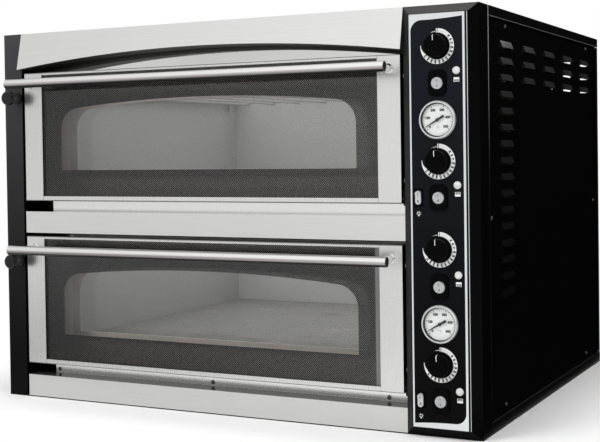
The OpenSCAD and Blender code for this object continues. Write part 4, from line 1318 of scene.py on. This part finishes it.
class OVEN_OT_thermometers(Operator):
    """Finishes the thermometers and adds their printed faces and broad hands"""

    bl_idname = "oven.thermometers"
    bl_label = "Thermometers"

    def execute(self, context):
        sizes = context.scene.oven_print
        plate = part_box("control_plate")[0].y
        dress(self.case_steel(), "thermometer_cases")
        dress(pane("thermometer lens glass", (0.97, 0.975, 0.975), 30.0), "thermometer_lenses")
        white = ink("white gauge enamel", (0.90, 0.90, 0.89), 0.4, 0.5)
        dark = ink("black gauge ink", BLACK_INK)
        black = ink("black pointer enamel", (0.006, 0.006, 0.0065), 0.40, 0.1)
        turned = Matrix.Rotation(sizes.pointer_rest, 4, "Z")
        hand_out, face_out, pin, well = 3.66 * MM, 1.06 * MM, 1.1 * MM, 2.4 * MM
        ink_out = face_out + (SHEET_THICKNESS + sizes.ink_thickness) / 2
        disc = [circle(sizes.gauge_radius - 1.0 * MM, steps=72), circle(well)]
        for deck in DECKS:
            dress(black, f"{deck}_gauge_pointer")
            at = JOINT_AT[f"{deck}_gauge_pointer_turn"]
            hand = printed([self.hand_outline(), circle(pin)], SHEET_THICKNESS)
            place = on_front(at.x, plate - hand_out, at.z) @ turned
            piece(f"{deck}_gauge_hand", hand, black, f"{deck}_gauge_pointer", place)
            place = on_front(at.x, plate - face_out, at.z)
            piece(f"{deck}_gauge_face", printed(disc, SHEET_THICKNESS), white, "casing", place)
            place = on_front(at.x, plate - ink_out, at.z)
            piece(f"{deck}_gauge_scale", self.scale(sizes), dark, "casing", place)
        return {"FINISHED"}

    @staticmethod
    def hand_outline():
        """A slim hand with a broad tail, seen over its hub."""
        half = [(0.0, 23.4), (0.7, 22.6), (1.5, 3.2), (2.9, 1.4), (2.9, -1.4), (1.7, -3.0), (2.3, -13.2)]
        sides = half + [(-x, z) for x, z in reversed(half[1:])]
        return [(x * MM, z * MM) for x, z in sides]

    @staticmethod
    def case_steel():
        """Bright turned rim round a well that is made black inside as painted shade."""
        paint = paint_for("bright gauge steel")
        upper, lower = [JOINT_AT[f"{deck}_gauge_pointer_turn"] for deck in DECKS]
        x, _, z = paint.xyz()
        rise = abs(z - (upper.z + lower.z) / 2) - (upper.z - lower.z) / 2
        radius = ((x - upper.x) ** 2.0 + rise ** 2.0) ** 0.5
        # Painted shade: the case is black inside the rim, where its inner wall lies in shade.
        well = paint.spread(radius, 29.2 * MM, 28.8 * MM)
        spun = paint.noise(1.0, 2.0, 0.5, (900.0, 900.0, 900.0))
        colour = paint.blend(spun, (0.66, 0.66, 0.655), (0.78, 0.78, 0.775))
        colour = paint.blend(well, colour, (0.008, 0.008, 0.008))
        looks = {"Metallic": 0.7 * (1.0 - well), "Specular IOR Level": 0.1}
        return paint.surface(colour, 0.28 + 0.06 * spun, paint.relief(spun, 0.03, 0.0001), looks)

    @staticmethod
    def scale(sizes):
        """Ticks, with a broad one and a figure at every fifth, and the unit."""
        outer, thickness = sizes.gauge_radius - 1.6 * MM, sizes.ink_thickness
        ticks, figures = [], [("\u00b0C", 5.0 * MM, 0.0, (0.0, -12.0 * MM))]
        first_turn, turn_step = 229.0, 10.4
        for i in range(26):
            turn = first_turn + turn_step * i
            major = i % 5 == 0
            inner = outer - (3.4 if major else 2.0) * MM
            half = 1.1 if major else 0.5
            corners = ((inner, -half), (outer, -half), (outer, half), (inner, half))
            ticks.append([clock(radius, turn + aside) for radius, aside in corners])
            if major:
                figures.insert(-1, (str(20 * i), 5.8 * MM, 0.40 * MM, clock(outer - 8.2 * MM, turn)))
        parts = [
            (lettering(words, size, thickness, bold), Matrix.Translation((*spot, 0.0)))
            for words, size, bold, spot in figures
        ]
        return joined(parts + [(printed(ticks, thickness), Matrix.Identity(4))])


class OVEN_OT_screws(Operator):
    """Replaces the plain screws with cross-recessed heads"""

    bl_idname = "oven.screws"
    bl_label = "Screws"

    def execute(self, context):
        material = plain_steel("dark zinc screw steel", (0.17, 0.17, 0.168), 0.24)
        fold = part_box("right_side_panel")[0].y
        beside_fold, clear_of_fold = 20.0 * MM, 12.0 * MM
        parts = []
        for i, (centre, extents) in enumerate(clusters("screws", SCREW_REACH)):
            axis = min(range(3), key=lambda k: extents[k])
            normal = Vector((0.0, 0.0, 0.0))
            normal[axis] = math.copysign(1.0, centre[axis])
            foot = centre - normal * extents[axis] / 2
            if 0.0 < foot.y - fold < beside_fold:
                foot.y += clear_of_fold
            turn = normal.to_track_quat("Z", "Y").to_matrix().to_4x4()
            spin = Matrix.Rotation(math.radians(37.0 * i), 4, "Z")
            head = screw_head(max(extents) / 2, extents[axis])
            parts.append((head, Matrix.Translation(foot) @ turn @ spin))
        screws = piece("screw_heads", joined(parts), material, "casing", smooth=30)
        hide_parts("screws")
        return {"FINISHED"}


class OVEN_OT_stage(Operator):
    """Sets up the floor, the soft studio light and the camera"""

    bl_idname = "oven.stage"
    bl_label = "Studio"

    def execute(self, context):
        settings = context.scene.oven_stage
        context.scene.view_settings.view_transform = "Standard"
        self.floor(settings)
        self.world(context, settings)
        self.lamp("key light", (-2.3, -3.4, 3.6), 2.8, settings.key_power)
        self.lamp("top light", (0.2, -0.3, 3.8), 3.0, settings.top_power)
        self.lamp("fill light", (2.9, -1.9, 2.2), 1.4, settings.fill_power)
        chamber_lamp, lamp_drop = 0.69, 10.0 * MM
        for deck in DECKS:
            low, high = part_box(f"{deck}_chamber")
            middle = (low + high) / 2
            place = (middle.x, middle.y, high.z - lamp_drop)
            target = (middle.x, middle.y + 1.0 * MM, low.z)
            self.lamp(f"{deck} chamber light", place, chamber_lamp, settings.chamber_power, target)
        self.camera(context, settings)
        return {"FINISHED"}

    @staticmethod
    def floor(settings):
        """A wide floor, shaded only near the oven; mirrors show it grey on the left and dark on the right."""
        paint = paint_for("pale studio floor")
        x, y, _ = paint.xyz()
        away = (x * x + y * y) ** 0.5
        beside = (abs(x) - HALF_WIDTH).larger(0.0)
        before = (abs(y) - HALF_DEPTH).larger(0.0)
        clear = (beside * beside + before * before) ** 0.5
        seen, glossy = paint.rays()
        mottle = paint.noise(3.0, 2.0)
        colour = paint.vary(mottle, settings.floor_tone, 0.98, 1.02)
        plain = paint.node("BsdfDiffuse", None, {"Color": colour})
        fall = paint.spread(away, 4.0, 1.0) * paint.spread(x, 0.35, -0.75)
        mirrored = paint.mix_shader(glossy * fall, paint.glow(1.0), paint.glow(0.52))
        shown = paint.mix_shader(seen * paint.spread(clear, 0.0, 0.30), plain, mirrored)
        flag = paint.spread(x, HALF_WIDTH, HALF_WIDTH + 0.01) * paint.spread(y, -0.50, -0.40)
        material = paint.finish(paint.mix_shader(glossy * flag, shown, paint.glow(0.001)))
        half = 9.0
        mesh = bpy.data.meshes.new("floor")
        mesh.from_pydata([(*corner, 0.0) for corner in rectangle(2 * half, 2 * half)], [], [(0, 1, 2, 3)])
        mesh.materials.append(material)
        linked("floor", mesh)

    @staticmethod
    def world(context, settings):
        """Even white light, mirrored as grey on the left and as a dark flag low at the right and the back."""
        paint = Paint(bpy.data.worlds.new("white studio"))
        context.scene.world = paint.owner
        seen, glossy = paint.rays()
        x, y, z = paint.xyz("Generated")
        flag = paint.spread(x * 0.8 + y * 0.6, 0.10, 0.50) * paint.spread(z, 0.271, 0.253)
        fall = paint.spread(0.0 - x, 0.35, 0.80)
        shown = paint.mix_shader(glossy * fall, paint.glow(1.0), paint.glow(0.60))
        dusk = paint.mix_shader(paint.spread(z, 0.09, 0.17), paint.glow(0.001), paint.glow(0.024))
        shown = paint.mix_shader(glossy * flag, shown, dusk)
        paint.finish(paint.mix_shader(seen, paint.glow(1.0, settings.ambient), shown))

    @staticmethod
    def lamp(name, place, size, power, target=(0.0, 0.0, 0.35)):
        """A square light that no mirror shows."""
        light = bpy.data.lights.new(name, "AREA")
        light.shape = "SQUARE"
        light.size = size
        light.energy = power
        obj = linked(name, light)
        obj.visible_camera = False
        obj.visible_glossy = False
        aim = Vector(target) - Vector(place)
        obj.matrix_world = Matrix.Translation(place) @ aim.to_track_quat("-Z", "Y").to_matrix().to_4x4()

    @staticmethod
    def camera(context, settings):
        data = bpy.data.cameras.new("front right camera")
        data.sensor_width = SENSOR_WIDTH
        data.lens = settings.focal_px / IMAGE_W * SENSOR_WIDTH
        data.shift_x = (IMAGE_W / 2 - settings.centre_x) / IMAGE_W
        data.shift_y = (settings.centre_y - IMAGE_H / 2) / IMAGE_W
        data.clip_start, data.clip_end = 0.05, 60.0
        obj = linked("front right camera", data)
        level = Matrix.Rotation(math.radians(90.0) - settings.pitch, 4, "X")
        turn = Matrix.Rotation(settings.yaw, 4, "Z")
        roll = Matrix.Rotation(settings.roll, 4, "Z")
        obj.matrix_world = Matrix.Translation(settings.camera_at) @ turn @ level @ roll
        context.scene.camera = obj


PIECES = (
    OVEN_OT_stage, OVEN_OT_casing, OVEN_OT_steelwork, OVEN_OT_chambers, OVEN_OT_doors, OVEN_OT_dampers,
    OVEN_OT_control_panel, OVEN_OT_dials, OVEN_OT_switches, OVEN_OT_pilot_lamps, OVEN_OT_thermometers,
    OVEN_OT_screws,
)


class OVEN_PT_pieces(Panel):
    """Lists the oven's pieces and their settings"""

    bl_idname = "OVEN_PT_pieces"
    bl_label = "Two-Deck Oven"
    bl_space_type = "VIEW_3D"
    bl_region_type = "UI"
    bl_category = "Oven"

    def draw(self, context):
        column = self.layout.column()
        for operator in PIECES:
            column.operator(operator.bl_idname)
        for settings in (context.scene.oven_finish, context.scene.oven_print, context.scene.oven_stage):
            box = self.layout.box()
            for name in settings.__annotations__:
                box.prop(settings, name)


SETTINGS = {
    "oven_finish": OvenFinishSettings, "oven_print": OvenPrintSettings, "oven_stage": OvenStageSettings,
}
CLASSES = (*SETTINGS.values(), *PIECES, OVEN_PT_pieces)


def register():
    for cls in CLASSES:
        bpy.utils.register_class(cls)
    for name, group in SETTINGS.items():
        setattr(bpy.types.Scene, name, PointerProperty(type=group))


def unregister():
    for name in SETTINGS:
        delattr(bpy.types.Scene, name)
    for cls in reversed(CLASSES):
        bpy.utils.unregister_class(cls)


def main():
    register()
    bpy.ops.oven.stage()
    bpy.ops.oven.casing()
    bpy.ops.oven.steelwork()
    bpy.ops.oven.chambers()
    bpy.ops.oven.doors()
    bpy.ops.oven.dampers()
    bpy.ops.oven.control_panel()
    bpy.ops.oven.dials()
    bpy.ops.oven.switches()
    bpy.ops.oven.pilot_lamps()
    bpy.ops.oven.thermometers()
    bpy.ops.oven.screws()


if __name__ == "__main__":
    main()
